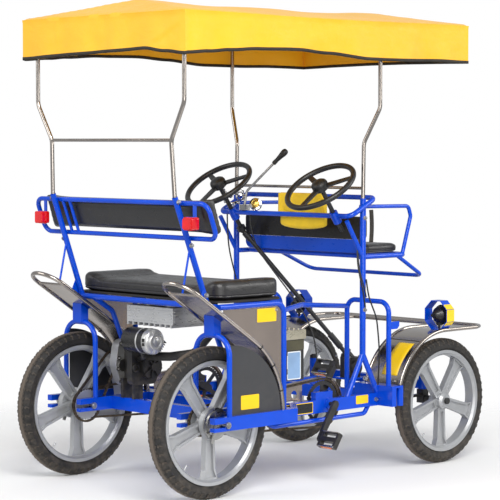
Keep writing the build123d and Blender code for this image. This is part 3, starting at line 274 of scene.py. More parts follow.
def group(name):
    """A node group by its name, built once."""
    if name not in GROUPS:
        plain = {"Mottle": mottle_group, "Road dust": dust_group, "Scuffs": scuff_group, "Sidewall": sidewall_group}
        GROUPS[name] = plain[name]() if name in plain else relief_group(name)
    return GROUPS[name]


def make_finish(name, shade, gloss, patches, dust=0.0, relief=None, depth=0.0, metal=0.0, fineness=1.0, coat=0.0,
                sheen=0.0, split=None, axle=None, specular=0.5):
    """A finish from its numbers. split is (axis, place in metres, softness, other colour, other metallic)."""
    made = bpy.data.materials.new(name)
    made.use_nodes = True
    g = Graph(made.node_tree)
    shader = made.node_tree.nodes["Principled BSDF"].inputs
    tint, metallic = (*shade, 1.0), metal
    if split:
        axis, place, softness, other, other_metal = split
        mask = g.remap(g.axes()[axis], place - softness, place + softness)
        tint = g.blend(mask, tint, (*other, 1.0))
        if other_metal != metal:
            metallic = g.remap(mask, 0.0, 1.0, metal, other_metal)
    tint = g.use("Mottle", {"Colour": tint, "Scale": patches[0], "Amount": patches[1]})["Colour"]
    if dust:
        tint = g.use("Road dust", {"Colour": tint, "Amount": dust})["Colour"]
    if axle:
        wall = g.use("Sidewall", {"Axle X": axle[0], "Axle Z": axle[1], "Radius": axle[2]})
        tint = g.blend(g.math("MULTIPLY", wall["Outside"], 0.75), tint, (0.135, 0.105, 0.080, 1.0))
    if relief:
        height = g.use(relief, {"Scale": fineness})["Height"]
        if axle:
            height = g.math("ADD", g.math("MULTIPLY", height, 0.2), wall["Height"])
        bump = g.add("ShaderNodeBump", {"Strength": 1.0, "Distance": depth, "Height": height})
        g.feed(shader["Normal"], bump.outputs["Normal"])
    for socket, value in {"Base Color": tint, "Metallic": metallic, "Coat Weight": coat, "Coat Roughness": 0.08,
                          "Roughness": g.use("Scuffs", {"Low": gloss[0], "High": gloss[1]})["Roughness"],
                          "Sheen Weight": sheen, "Specular IOR Level": specular}.items():
        g.feed(shader[socket], value)
    FINISHES[name] = made
    return made


def finish_table(tint):
    """Every finish: its name, the nodes that wear it, shade, gloss from and to, scale and amount of its patches,
    dust, relief, depth of the relief in metres, and its other numbers. Pieces wear the ones without a node."""
    paint, steel, dark = tuple(tint.paint), tuple(tint.steel), tuple(tint.dark)
    table = [
        ("Frame enamel", "side_frame_right side_frame_left side_hoops seat_frame front_posts dash_frame "
         "child_seat_frame front_hoops front_axle_beam cross_members wheel_cages lamp_guards back_frame",
         paint, (0.14, 0.26), (5.0, 0.14), 0.02, "peel", 0.00025, dict(coat=0.25, specular=0.3)),
        # Brushed stainless: grey steel with a painted reflection, its warm brown tint standing in for a reflected
        # brown ground.
        ("Brushed stainless", "rear_fenders front_fenders canopy_posts_rear canopy_posts_front canopy_frame",
         steel, (0.12, 0.26), (4.0, 0.22), 0.06, "brush", 0.00012, dict(metal=1.0)),
        # Side panels and chain guards: grey steel with a painted reflection, the pinkish brown tint standing in for
        # a reflected brown ground.
        ("Stainless sheet with painted reflection", "side_panels chain_guards",
         (0.46, 0.385, 0.335), (0.14, 0.24), (2.2, 0.30), 0.05, "brush", 0.00006, dict(metal=0.85)),
        ("Dark sheet", "side_guards", (0.040, 0.041, 0.045), (0.35, 0.5), (5.0, 0.18), 0.07, "peel", 0.0001, {}),
        ("Black painted steel", "battery_box steering_box driver_steering passenger_steering intermediate_shaft "
         "knuckle_right knuckle_left crank_set_right crank_set_left",
         dark, (0.28, 0.5), (9.0, 0.3), 0.08, "cast", 0.00015, {}),
        ("Zinc plate", "track_rod pitman_arm rear_axles lever",
         (0.50, 0.50, 0.49), (0.22, 0.45), (22.0, 0.35), 0.25, "cast", 0.0001, dict(metal=1.0)),
        ("Silver case", "control_box", (0.66, 0.66, 0.66), (0.24, 0.4), (12.0, 0.08), 0.0, None, 0.0,
         dict(metal=0.6)),
        ("Engine castings", "engine", (0.020, 0.020, 0.021), (0.32, 0.55), (10.0, 0.35), 0.35, "cast", 0.0003,
         dict(metal=0.1, split=(1, 0.2255, 0.0002, (0.62, 0.62, 0.61), 0.75))),
        ("Silencer drum", "canister", (0.50, 0.51, 0.52), (0.22, 0.4), (14.0, 0.25), 0.2, "cast", 0.0001,
         dict(metal=0.9, split=(1, -0.0055, 0.0006, (0.014, 0.014, 0.015), 0.05))),
        ("Chain steel", "pedal_chain_right pedal_chain_left engine_chain",
         (0.105, 0.080, 0.055), (0.3, 0.5), (60.0, 0.5), 0.4, "cast", 0.0001, dict(metal=0.8)),
        ("Battery lid steel", "battery_lid",
         (0.62, 0.57, 0.44), (0.22, 0.42), (16.0, 0.25), 0.12, "cast", 0.0001, dict(metal=0.9)),
        ("Painted board", "seat_pan", (0.025, 0.022, 0.019), (0.45, 0.7), (12.0, 0.3), 0.2, "grain", 0.0002, {}),
        ("Blue panel", "child_panels", (0.0, 0.066, 0.58), (0.25, 0.42), (5.0, 0.15), 0.03, "peel", 0.0002,
         dict(coat=0.15, specular=0.3, split=(2, 0.9118, 0.0002, (0.012, 0.011, 0.011), 0.0))),
        ("Lamp black", "headlamps", (0.012, 0.012, 0.013), (0.25, 0.42), (20.0, 0.3), 0.1, "grain", 0.00008, {}),
        ("Lamp red", "tail_lamps", tuple(tint.lens), (0.08, 0.2), (30.0, 0.2), 0.0, "peel", 0.0001,
         dict(coat=0.6, split=(2, 1.0304, 0.0002, paint, 0.0))),
        ("Hose rubber", "intake_hose", (0.018, 0.018, 0.018), (0.5, 0.7), (24.0, 0.3), 0.4, "rubber", 0.0002, {}),
        ("Wheel silver", " ".join("wheel_" + key for key in WHEELS),
         tuple(tint.wheel), (0.30, 0.48), (9.0, 0.12), 0.10, "cast", 0.00018, dict(metal=0.55, coat=0.15)),
        ("Canopy cloth", "canopy", tuple(tint.canopy), (0.42, 0.62), (3.0, 0.10), 0.0, "weave", 0.0009,
         dict(sheen=0.15)),
        ("Bag cloth", "bag", (1.0, 0.66, 0.01), (0.5, 0.75), (14.0, 0.16), 0.0, "weave", 0.0008, dict(sheen=0.1)),
        ("Seat vinyl", "bench_cushion backrest_pad child_cushion",
         tuple(tint.vinyl), (0.26, 0.44), (6.0, 0.35), 0.0, "grain", 0.0003, dict(fineness=1.6, specular=0.6)),
        ("Binding tape", "", tuple(tint.binding), (0.6, 0.8), (20.0, 0.3), 0.0, "weave", 0.0004, {}),
        ("Tread rubber", "", (0.060, 0.048, 0.038), (0.6, 0.85), (40.0, 0.45), 0.1, "rubber", 0.0003, {}),
        ("Bolt zinc", "", (0.58, 0.57, 0.55), (0.2, 0.4), (40.0, 0.3), 0.15, "cast", 0.00005, dict(metal=1.0)),
        ("Black trim", "", (0.013, 0.013, 0.013), (0.35, 0.6), (20.0, 0.3), 0.2, "grain", 0.0001, {}),
        ("Blank label", "", tuple(tint.label), (0.3, 0.5), (9.0, 0.10), 0.0, "peel", 0.0001, {}),
        ("Blank plate", "", (0.010, 0.010, 0.011), (0.25, 0.4), (9.0, 0.2), 0.0, "peel", 0.0001, {}),
        ("Pale label", "", (0.24, 0.38, 0.60), (0.3, 0.5), (9.0, 0.25), 0.0, "peel", 0.0001, {}),
        ("White border", "", (0.75, 0.78, 0.80), (0.35, 0.5), (12.0, 0.12), 0.0, "peel", 0.0001, {}),
        ("Olive band", "", (0.065, 0.060, 0.030), (0.35, 0.6), (14.0, 0.4), 0.2, "grain", 0.0001, {}),
        ("Frame tape", "", (0.95, 0.66, 0.02), (0.35, 0.5), (12.0, 0.15), 0.0, "peel", 0.0002, {}),
        ("Lamp glass", "", (0.72, 0.74, 0.76), (0.04, 0.12), (18.0, 0.2), 0.0, "peel", 0.0001,
         dict(metal=0.6, coat=1.0)),
        ("Reflector orange", "", (0.85, 0.16, 0.01), (0.1, 0.25), (60.0, 0.2), 0.0, "peel", 0.0002, dict(coat=0.8)),
        ("Silencer cap", "", (0.66, 0.66, 0.65), (0.26, 0.38), (14.0, 0.15), 0.0, "peel", 0.00005, dict(metal=0.75)),
        ("Brass", "", (0.62, 0.42, 0.10), (0.18, 0.32), (40.0, 0.3), 0.0, "peel", 0.0001, dict(metal=1.0)),
        ("Chrome", "", (0.72, 0.72, 0.73), (0.06, 0.18), (30.0, 0.15), 0.0, "peel", 0.00005, dict(metal=1.0)),
        ("Cable black", "", (0.014, 0.014, 0.014), (0.35, 0.55), (30.0, 0.2), 0.0, "rubber", 0.00008, {}),
    ]
    for key, (x, y, radius, body) in WHEELS.items():
        axle = row(x, y, radius)
        table.append((f"Tyre rubber {key}", "tyre_" + key, tuple(tint.rubber), (0.55, 0.8), (26.0, 0.35), 0.16,
                      "rubber", 0.0006, dict(axle=(axle.x, axle.z, radius / 1000))))
    return table


# Mesh makers; places are layout millimetres

def show(name, data):
    """A new object in the scene."""
    made = bpy.data.objects.new(name, data)
    bpy.context.scene.collection.objects.link(made)
    return made


def mesh_of(name, bm):
    """Ends a bmesh as a mesh."""
    mesh = bpy.data.meshes.new(name)
    bm.to_mesh(mesh)
    bm.free()
    return mesh


def smooth(mesh):
    for face in mesh.polygons:
        face.use_smooth = True


def corners(node):
    """A CAD node's lowest and highest corner, in metres."""
    return (Vector(corner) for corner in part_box(node))


def edges_of(verts):
    return list({edge for vert in verts for edge in vert.link_edges})


def edges_along(edges, axis, least):
    """The edges that run further than a length in metres along one axis."""
    return [edge for edge in edges if abs((edge.verts[0].co - edge.verts[1].co)[axis]) > least]


def bevel(bm, edges, offset, segments=1, clamp=False):
    return bmesh.ops.bevel(bm, geom=edges, offset=offset, segments=segments, affect="EDGES", profile=0.5,
                           clamp_overlap=clamp, material=-1)["verts"]


def thicken(thing, thickness, offset=0.0):
    solid = thing.modifiers.new("Thickness", "SOLIDIFY")
    solid.thickness, solid.offset = thickness, offset


def grid(across, up):
    """A flat mesh one unit wide, from which a sheet is shaped."""
    bm = bmesh.new()
    bmesh.ops.create_grid(bm, x_segments=across, y_segments=up, size=0.5)
    return bm


def turned(direction):
    return Vector(direction).to_track_quat("Z", "Y").to_matrix().to_4x4()


def add_rod(bm, start, end, radius, sides=14, taper=None):
    """A round bar between two points."""
    low, high = row(*start), row(*end)
    matrix = Matrix.Translation((low + high) / 2) @ turned(high - low)
    bmesh.ops.create_cone(bm, cap_ends=True, segments=sides, radius1=radius / 1000,
                          radius2=(radius if taper is None else taper) / 1000, depth=(high - low).length,
                          matrix=matrix)


def add_cube(bm, matrix, size):
    """A box of a size in metres, where a matrix puts it."""
    return bmesh.ops.create_cube(bm, size=1.0, matrix=matrix @ Matrix.Diagonal((*size, 1.0)))["verts"]


def add_block(bm, low, high, softness=0.0):
    """A box between two corners, with softened edges."""
    a, b = row(*low), row(*high)
    verts = add_cube(bm, Matrix.Translation((a + b) / 2), b - a)
    if softness:
        bevel(bm, edges_of(verts), softness / 1000, 2, True)
    return verts


def add_turning(bm, profile, centre, axis, steps=32):
    """A turned part from (radius, along) pairs round an axis through a point."""
    part = bmesh.new()
    points = [part.verts.new((r / 1000, 0, along / 1000)) for r, along in profile]
    edges = [part.edges.new(pair) for pair in zip(points, points[1:])]
    bmesh.ops.spin(part, geom=points + edges, cent=(0, 0, 0), axis=(0, 0, 1), angle=tau, steps=steps, use_merge=True)
    bmesh.ops.remove_doubles(part, verts=part.verts, dist=1e-6)
    bmesh.ops.transform(part, matrix=Matrix.Translation(row(*centre)) @ turned(axis), verts=part.verts)
    mesh = mesh_of("part", part)
    bm.from_mesh(mesh)
    bpy.data.meshes.remove(mesh)


def piece(name, bm, finish, body="chassis", sharp=35):
    """A finished object from a mesh, riding on a body."""
    bmesh.ops.remove_doubles(bm, verts=bm.verts, dist=2e-6)
    bmesh.ops.recalc_face_normals(bm, faces=bm.faces)
    mesh = mesh_of(name, bm)
    smooth(mesh)
    mesh.set_sharp_from_angle(angle=radians(sharp))
    mesh.materials.append(FINISHES[finish])
    made = show(name, mesh)
    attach(made, body)
    return made


# Canopy: ends and half width, height of its edge and ridge, and the length of its rear and front slopes.
CANOPY = dict(rear=-188, front=1345, half=466, edge=1762, crown=1829, rear_slope=188, front_slope=83)
BOWS = (30, 591, 1232)
# Height of the hem along the sides, and across the rear.
HEM = [(-188, 1606), (-60, 1614), (29, 1621), (178, 1629), (384, 1632), (543, 1624), (763, 1608), (934, 1608),
       (1170, 1612), (1345, 1610)]
REAR_HEM = [(-466, 1604), (-362, 1614), (-253, 1627), (-60, 1622), (150, 1617), (466, 1609)]
FRONT_HEM, FRONT_HEM_RISE = 1610, 6


def between(table, value):
    """The value of a table of (place, value) pairs at a place, smooth between its rows."""
    if value <= table[0][0]:
        return table[0][1]
    for (x0, z0), (x1, z1) in zip(table, table[1:]):
        if value <= x1:
            t = (value - x0) / (x1 - x0)
            t = t * t * (3 - 2 * t)
            return z0 + (z1 - z0) * t
    return table[-1][1]


def canopy_sides(x, y):
    """Whether a place is on the canopy's rear edge, its front edge, and one of its side edges."""
    return abs(x - CANOPY["rear"]) < 1, abs(x - CANOPY["front"]) < 1, abs(abs(y) - CANOPY["half"]) < 1


def canopy_edge(x):
    """Height of the roof's edge: the cloth hangs a little between the corners."""
    span = (x - CANOPY["rear"]) / (CANOPY["front"] - CANOPY["rear"])
    return CANOPY["edge"] + 1.5 - 5.0 * sin(pi * span) * sin(pi * span)


def roof_height(x, y):
    """Top of the cloth: a low hip, rounded at the ridge and sagging a little between the bows."""
    c = CANOPY
    along = min((x - c["rear"]) / c["rear_slope"], (c["front"] - x) / c["front_slope"], 1.0)
    across = (c["half"] - hypot(y, 40) + 12) / (c["half"] - 15)
    t = max(0.0, min(along, across, 1.0))
    rise = t - 0.03 * sin(pi * t)
    sag = sum(sin(pi * (x - a) / (b - a)) ** 2 for a, b in zip(BOWS, BOWS[1:]) if a < x < b)
    return canopy_edge(x) + (c["crown"] - 1 - c["edge"]) * rise - 1000 * sizes().roof_sag * sag * min(1.0, 3 * t)


def hem_height(x, y):
    """Height of the hem under a place on the canopy's edge."""
    rear, front, _ = canopy_sides(x, y)
    if rear:
        return between(REAR_HEM, y)
    if front:
        return FRONT_HEM + FRONT_HEM_RISE * sin(pi * (y / CANOPY["half"] + 1) / 2)
    return between(HEM, x)


def valance_point(x, y, down):
    """A place on the valance, from the edge (down 0) to the hem (down 1), with its ripples and creases."""
    c = CANOPY
    rear, front, side = canopy_sides(x, y)
    top = canopy_edge(x) - 2
    z = top + (hem_height(x, y) - top) * down
    corner = min(c["half"] - abs(y) if rear or front else 1e3, x - c["rear"] if side else 1e3,
                 c["front"] - x if side else 1e3)
    ease = min(1.0, corner / 90)
    ripple = (5.5 * sin(x / 46 + 1.3 * sin(x / 170)) + 4.0 * sin(y / 33 + x / 90)) * down ** 1.5 * ease
    ripple += 2.2 * noise.noise(Vector((x / 60, y / 60, z / 45))) * ease
    lift = -3.0 + ripple
    out_x = front - rear
    out_y = 0 if out_x else (1 if y > 0 else -1)
    # the rear's diagonal crease, from the hem up to the right corner
    along = (y / c["half"] + 1) * 2
    if rear and along <= 1:
        crease_z = 1745 - along * (1745 - between(REAR_HEM, -c["half"] / 2))
        lift += 6.0 * exp(-((z - crease_z) / 7) ** 2) * sin(pi * min(1, max(0, along)))
    return row(x + out_x * lift, y + out_y * lift, z)


class SURREY_OT_canopy(bpy.types.Operator):
    """One curved sheet of cloth over the bows, with its valance and bound hem"""
    bl_idname = "surrey.canopy"
    bl_label = "Canopy"

    def execute(self, context):
        c, steps = CANOPY, sizes().valance_steps
        long, wide = c["front"] - c["rear"], 2 * c["half"]
        bm = grid(110, 68)
        edge_places = {}
        for vert in bm.verts:
            x, y = c["rear"] + long * (vert.co.x + 0.5), wide * vert.co.y
            wrinkle = 1.6 * noise.noise(Vector((x / 130, y / 90, 0.3)))
            vert.co = row(x, y, roof_height(x, y) + wrinkle)
            if any(canopy_sides(x, y)):
                vert.co = row(x, y, canopy_edge(x) - 2)
                edge_places[vert] = (x, y)
        loop = [edge for edge in bm.edges if edge.is_boundary]
        for k in range(1, steps + 1):
            made = bmesh.ops.extrude_edge_only(bm, edges=loop)["geom"]
            # a new vertex stands on the old one until it is moved
            places = {}
            for vert in (item for item in made if isinstance(item, bmesh.types.BMVert)):
                ends = (edge.other_vert(vert) for edge in vert.link_edges)
                places[vert] = edge_places[next(end for end in ends if end in edge_places)]
            for vert, (x, y) in places.items():
                vert.co = valance_point(x, y, k / steps)
            edge_places = places
            loop = [item for item in made if isinstance(item, bmesh.types.BMEdge) and item.is_boundary
                    and all(vert in places for vert in item.verts)]
        # the hem's binding is the last part of the valance again, a little proud on both sides
        band = bmesh.new()
        middle = (c["front"] + c["rear"]) / 2
        ring = []
        for vert, (x, y) in sorted(edge_places.items(), key=lambda item: atan2(
                item[1][1] / c["half"], (item[1][0] - middle) / (long / 2))):
            drop = canopy_edge(x) - 2 - hem_height(x, y)
            upper = valance_point(x, y, 1 - 1000 * sizes().hem_height / drop)
            ring.append((band.verts.new(upper), band.verts.new(vert.co.copy())))
        for (a, b), (d, e) in zip(ring, ring[1:] + ring[:1]):
            band.faces.new((a, b, e, d))
        sheet = piece("canopy_cloth", bm, "Canopy cloth", sharp=75)
        thicken(sheet, 0.0014)
        binding = piece("canopy_binding", band, "Binding tape", sharp=75)
        thicken(binding, 0.0042)
        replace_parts(sheet, "canopy")
        return {"FINISHED"}


# Cushions

BENCH_HALF = 0.41
# Height of the sewn groove above each cover's underside, and how far the back leans for each part that it rises.
BENCH_SEAM, CHILD_SEAM = 0.017, 0.011
BACK_LEAN = 148 / 399


def padded(name, node, swell, shrink, voxel, shape=None):
    """A filled cover: the node's solid made smaller, remeshed and blown up as cloth, then shaped."""
    low, high = corners(node)
    bm = bmesh.new()
    bm.from_mesh(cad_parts[node].data)
    bmesh.ops.remove_doubles(bm, verts=bm.verts, dist=1e-5)
    middle, size = (low + high) / 2, high - low
    for vert in bm.verts:
        vert.co = middle + Vector((vert.co[k] - middle[k]) * (1 - 2 * shrink / size[k]) for k in range(3))
    cover = show(name, mesh_of(name, bm))
    remesh = cover.modifiers.new("Cells", "REMESH")
    remesh.mode, remesh.voxel_size = "VOXEL", voxel
    settle(cover)
    start = [vert.co.copy() for vert in cover.data.vertices]
    cloth = cover.modifiers.new("Cover", "CLOTH").settings
    cloth.use_pressure, cloth.uniform_pressure_force = True, 4.0
    cloth.effector_weights.gravity = 0.0
    cloth.quality = 4
    for number in range(1, 21):
        bpy.context.scene.frame_set(number)
    settle(cover)
    bpy.context.scene.frame_set(1)
    for vert, home in zip(cover.data.vertices, start):
        move = vert.co - home
        if move.length > swell:
            move *= swell / move.length
        vert.co = home + move
        if shape:
            shape(vert.co, low, high)
        vert.co = Vector(min(max(vert.co[k], low[k]), high[k]) for k in range(3))
    smooth(cover.data)
    cover.data.materials.clear()
    cover.data.materials.append(FINISHES["Seat vinyl"])
    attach(cover, "chassis")
    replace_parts(cover, node)
    return cover


def settle(thing):
    """Applies an object's modifiers."""
    deps = bpy.context.evaluated_depsgraph_get()
    mesh = bpy.data.meshes.new_from_object(thing.evaluated_get(deps))
    old = thing.data
    thing.modifiers.clear()
    thing.data = mesh
    bpy.data.meshes.remove(old)


def groove(cover, point, normal, depth, half=0.003):
    """A sewn seam round a cover: three cuts with the middle one drawn in."""
    bm = bmesh.new()
    bm.from_mesh(cover.data)
    normal = Vector(normal).normalized()
    for offset in (-half, half, 0.0):
        cut = bmesh.ops.bisect_plane(bm, geom=bm.verts[:] + bm.edges[:] + bm.faces[:], dist=1e-6,
                                     plane_co=Vector(point) + normal * offset, plane_no=normal)
    bm.normal_update()
    for vert in (item for item in cut["geom_cut"] if isinstance(item, bmesh.types.BMVert)):
        inward = vert.normal - normal * vert.normal.dot(normal)
        vert.co -= inward.normalized() * depth if inward.length > 1e-6 else inward
    bm.to_mesh(cover.data)
    bm.free()
    smooth(cover.data)


def soften(cover):
    """One level of subdivision."""
    modifier = cover.modifiers.new("Smooth", "SUBSURF")
    modifier.levels = modifier.render_levels = 1


def saddle(co, low, high):
    """Shapes the bench: its middle sits lower than its two ends, and its underside stays flat."""
    across = abs(co.y) / BENCH_HALF
    ends = min(1.0, max(0.0, (across - 0.62) / 0.3))
    ends = ends * ends * (3 - 2 * ends)
    up = (co.z - low.z) / (high.z - low.z)
    co.z += up * (0.008 - 0.024 * (1 - ends))
    co.z -= 0.014 * up * max(0.0, (across - 0.90) / 0.10) ** 2
    front = (co.x - low.x) / (high.x - low.x)
    co.z += up * (-0.005 * (1 - front))


class SURREY_OT_cushions(bpy.types.Operator):
    """Bench, backrest and child seat covers, filled and sewn"""
    bl_idname = "surrey.cushions"
    bl_label = "Cushions"

    def execute(self, context):
        swell, voxel = sizes().cushion_swell, sizes().cushion_voxel

        bench = padded("bench_cover", "bench_cushion", swell, 0.007, 0.0065, saddle)
        low, high = corners("bench_cushion")
        groove(bench, (0, 0, low.z + BENCH_SEAM), (0, 0, 1), 0.003)
        for y in (-0.262, 0.262):
            groove(bench, (0, y, 0), (0, 1, 0), 0.0016, 0.0025)
        soften(bench)

        board = bmesh.new()
        add_block(board, (26, -408, 711.2), (366, 408, 719))
        bevel(board, edges_along(board.edges, 2, 0.005), 0.052, 10)
        bevel(board, [edge for edge in board.edges if edge.calc_face_angle(0) > 1.2], 0.001)
        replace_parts(piece("seat_board", board, "Painted board"), "seat_pan")

        pad = padded("backrest_cover", "backrest_pad", swell, 0.006, voxel)
        low, high = corners("backrest_pad")
        groove(pad, (high.x - 0.034, 0, low.z), (1, 0, BACK_LEAN), 0.0025)
        soften(pad)

        child = padded("child_cover", "child_cushion", 0.006, 0.005, 0.0055)
        low, high = corners("child_cushion")
        groove(child, (0, 0, low.z + CHILD_SEAM), (0, 0, 1), 0.002, 0.002)
        soften(child)
        return {"FINISHED"}


class SURREY_OT_child_pad(bpy.types.Operator):
    """Black sewn pad on the child seat's upper panel and the flat strap beside it"""
    bl_idname = "surrey.child_pad"
    bl_label = "Child back pad"

    def execute(self, context):
        bm = grid(60, 22)
        panel_x = POST_X + 50.3
        for vert in bm.verts:
            u, v = 2 * vert.co.x, 2 * vert.co.y
            # a superellipse keeps the corners round; channels run up the pad
            crown = max(0.0, 1 - abs(u) ** 6 - abs(v) ** 4) ** 0.45
            channel = 0.75 + 0.25 * abs(sin(u * pi * 2.5))
            vert.co = row(panel_x + 13 * crown * channel, u * 326, 957 + v * 43)
        back = bmesh.ops.extrude_edge_only(bm, edges=[edge for edge in bm.edges if edge.is_boundary])["geom"]
        bmesh.ops.holes_fill(bm, edges=[item for item in back if isinstance(item, bmesh.types.BMEdge)
                                        and item.is_boundary])
        piece("child_back_cover", bm, "Seat vinyl", sharp=60)

        strap = grid(1, 16)
        for vert in strap.verts:
            t = vert.co.y + 0.5
            sway = sin(pi * t)
            vert.co = row(900 + 6 * sway + 22 * vert.co.x, -348 + 2 * sway, 1030 - 128 * t)
        thicken(piece("child_strap", strap, "Binding tape", sharp=70), 0.002)
        return {"FINISHED"}


def squared(value, power):
    """A power that keeps the sign: it turns a circle's sides flatter."""
    return abs(value) ** power * (1 if value > 0 else -1)


class SURREY_OT_bag(bpy.types.Operator):
    """Sagging cloth bag with a flap, hung on the dash tube"""
    bl_idname = "surrey.bag"
    bl_label = "Bag"

    def execute(self, context):
        low, high = corners("bag")
        middle, half = (low + high) / 2, (high - low) / 2
        bm = bmesh.new()
        levels = 22
        rings = []
        for k in range(levels + 1):
            t = k / levels
            made = bmesh.ops.create_circle(bm, segments=72, radius=1.0)["verts"]
            deep = half.x * (0.55 + 0.45 * sin(pi * min(1.0, 0.12 + 0.95 * (1 - t)) ** 0.8))
            wide = half.y * (0.965 - 0.05 * t)
            if t < 0.12:
                pinch = sqrt(max(0.0, 1 - (1 - t / 0.12) ** 2))
                deep *= 0.35 + 0.65 * pinch
                wide *= 0.86 + 0.14 * pinch
            for vert in made:
                px, py = squared(vert.co.x, 0.55), squared(vert.co.y, 0.35)
                sag = 0.010 * (1 - py * py) * (1 - t)
                fold = 0.0022 * noise.noise(Vector((px * 2, py * 5, t * 5)))
                x = middle.x + px * (deep * (1 - 0.22 * abs(py) ** 6)) + fold * px
                z = low.z + (high.z - low.z) * t * 0.985 + 0.012 * (1 - t) - sag
                vert.co = (min(max(x, low.x + 0.0005), high.x), middle.y + py * wide, max(z, low.z))
            rings.append(made)
        for one, other in zip(rings, rings[1:]):
            bmesh.ops.bridge_loops(bm, edges=[edge for verts in (one, other) for edge in edges_of(verts)
                                              if all(vert in verts for vert in edge.verts)])
        bottom = set(rings[0])
        bmesh.ops.edgeloop_fill(bm, edges=[edge for edge in bm.edges if edge.is_boundary
                                           and all(vert in bottom for vert in edge.verts)])
        shell = piece("bag_shell", bm, "Bag cloth", sharp=70)
        thicken(shell, 0.0016, -1.0)
        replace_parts(shell, "bag")

        flap = grid(40, 24)
        lip = 0.034
        for vert in flap.verts:
            u, v = vert.co.x, vert.co.y + 0.5
            reach = 0.020 + 0.085 * v
            over = min(1.0, reach / lip)
            x = high.x - 0.006 - 2 * half.x * 0.74 * over
            z = high.z - 0.0025 + 0.0015 * sin(pi * over)
            if reach > lip:
                x = low.x + 0.0025 + 0.0016 * sin(u * 22) * v
                z = high.z - 0.002 - (reach - lip)
            vert.co = (max(x, low.x + 0.0006), middle.y + u * 2 * half.y * 0.93,
                       z + 0.004 * (cos(pi * 2 * u) - 1) * v)
        cover = piece("bag_flap", flap, "Bag cloth", sharp=70)
        thicken(cover, 0.0018)
        return {"FINISHED"}


# Tread blocks: place across, depth of the block's top, length and width in millimetres, and lean in radians.
TREAD_BLOCKS = [(13.0, 1.7, 11, 8.5, 0.45), (-13.0, 1.9, 5.5, 5, 0.45), (22.8, 9.6, 9, 7, 0.95),
                (28.0, 17.2, 4, 13, 1.05)]


class SURREY_OT_tread(bpy.types.Operator):
    """Rows of rubber blocks round each tyre, none beyond the tyre's own radius"""
    bl_idname = "surrey.tread"
    bl_label = "Tread"

    def execute(self, context):
        count = 2 * sizes().tread_rows
        high = 1000 * sizes().tread_height
        for key, (x, y, radius, body) in WHEELS.items():
            bm = bmesh.new()
            axle = row(x, y, radius)
            for k in range(count):
                side = 1 if k % 2 else -1
                spin = Matrix.Translation(axle) @ Matrix.Rotation(-tau * (k + 0.5) / count, 4, "Y")
                skew = Matrix.Rotation(0.45 * side, 4, "Z")
                for place, top, long, wide, lean in TREAD_BLOCKS:
                    across = side * place
                    lift = Matrix.Translation((0, across / 1000, (radius - top - high / 2) / 1000))
                    tilt = Matrix.Rotation(-lean if across > 0 else lean, 4, "X")
                    add_cube(bm, spin @ lift @ tilt @ skew, (long / 1000, wide / 1000, high / 1000))
            limit = (radius - 0.15) / 1000
            for vert in bm.verts:
                out = Vector((vert.co.x - axle.x, 0, vert.co.z - axle.z))
                if out.length > limit:
                    out *= limit / out.length
                    vert.co.x, vert.co.z = axle.x + out.x, axle.z + out.z
            piece("tread_" + key, bm, "Tread rubber", body, 30)
        return {"FINISHED"}


# Chains: along, height and radius of the driven and the driving sprocket, and place across.
CHAINS = {
    "pedal_chain_right": (0, 279, 48, *CRANK_AXLE, 88, -335),
    "pedal_chain_left": (0, 279, 48, *CRANK_AXLE, 88, 335),
    "engine_chain": (0, 279, 60, *ENGINE_SHAFT, 28, 317),
}
PIN_LINE = 4.75


def belt(x0, z0, r0, x1, z1, r1):
    """Length of a belt round two circles, and the function that gives a point on it."""
    far = hypot(x1 - x0, z1 - z0)
    base = atan2(z1 - z0, x1 - x0)
    phi = pi / 2 + asin((r1 - r0) / far)
    run = sqrt(far * far - (r1 - r0) ** 2)
    arc = r1 * 2 * phi
    total = 2 * run + arc + r0 * (tau - 2 * phi)

    def at(s):
        s %= total
        if s < run:
            t, angle = s / run, base + phi
        elif s < run + arc:
            t, angle = 1.0, base + phi - (s - run) / r1
        elif s < 2 * run + arc:
            t, angle = 1 - (s - run - arc) / run, base - phi
        else:
            t, angle = 0.0, base - phi - (s - 2 * run - arc) / r0
        radius = r0 + t * (r1 - r0)
        return x0 + t * (x1 - x0) + radius * cos(angle), z0 + t * (z1 - z0) + radius * sin(angle)
    return total, at


class SURREY_OT_chains(bpy.types.Operator):
    """Roller chains link by link round the sprockets"""
    bl_idname = "surrey.chains"
    bl_label = "Chains"

    def execute(self, context):
        for node, (x0, z0, r0, x1, z1, r1, y) in CHAINS.items():
            total, at = belt(x0, z0, r0 + PIN_LINE, x1, z1, r1 + PIN_LINE)
            count = 2 * round(total / (2000 * sizes().chain_pitch))
            pitch = total / count
            bm = bmesh.new()
            for k in range(count):
                a, b = at(k * pitch), at((k + 1) * pitch)
                for reach, radius, sides in ((3, 3.9, 8), (4.6, 1.9, 6)):
                    add_rod(bm, (a[0], y - reach, a[1]), (a[0], y + reach, a[1]), radius, sides)
                middle = Matrix.Translation(row((a[0] + b[0]) / 2, y, (a[1] + b[1]) / 2))
                turn = Matrix.Rotation(-atan2(b[1] - a[1], b[0] - a[0]), 4, "Y")
                off = 0.0040 if k % 2 else 0.0030
                for place in (-off, off):
                    verts = add_cube(bm, middle @ turn @ Matrix.Translation((0, place, 0)),
                                     ((pitch + 6.4) / 1000, 0.0009, 0.0078))
                    bevel(bm, edges_along(edges_of(verts), 1, 0.0005), 0.0022)
            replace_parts(piece("links_" + node, bm, "Chain steel", sharp=30), node)
        return {"FINISHED"}


# Fittings

BACK_FOOT = (14, 372, 700)
BACK_SPLAY = 9 / 399


def back_tube(side, z):
    """Place of a leaning back tube at a height."""
    rise = z - BACK_FOOT[2]
    return BACK_FOOT[0] - BACK_LEAN * rise, side * (BACK_FOOT[1] - BACK_SPLAY * rise), z


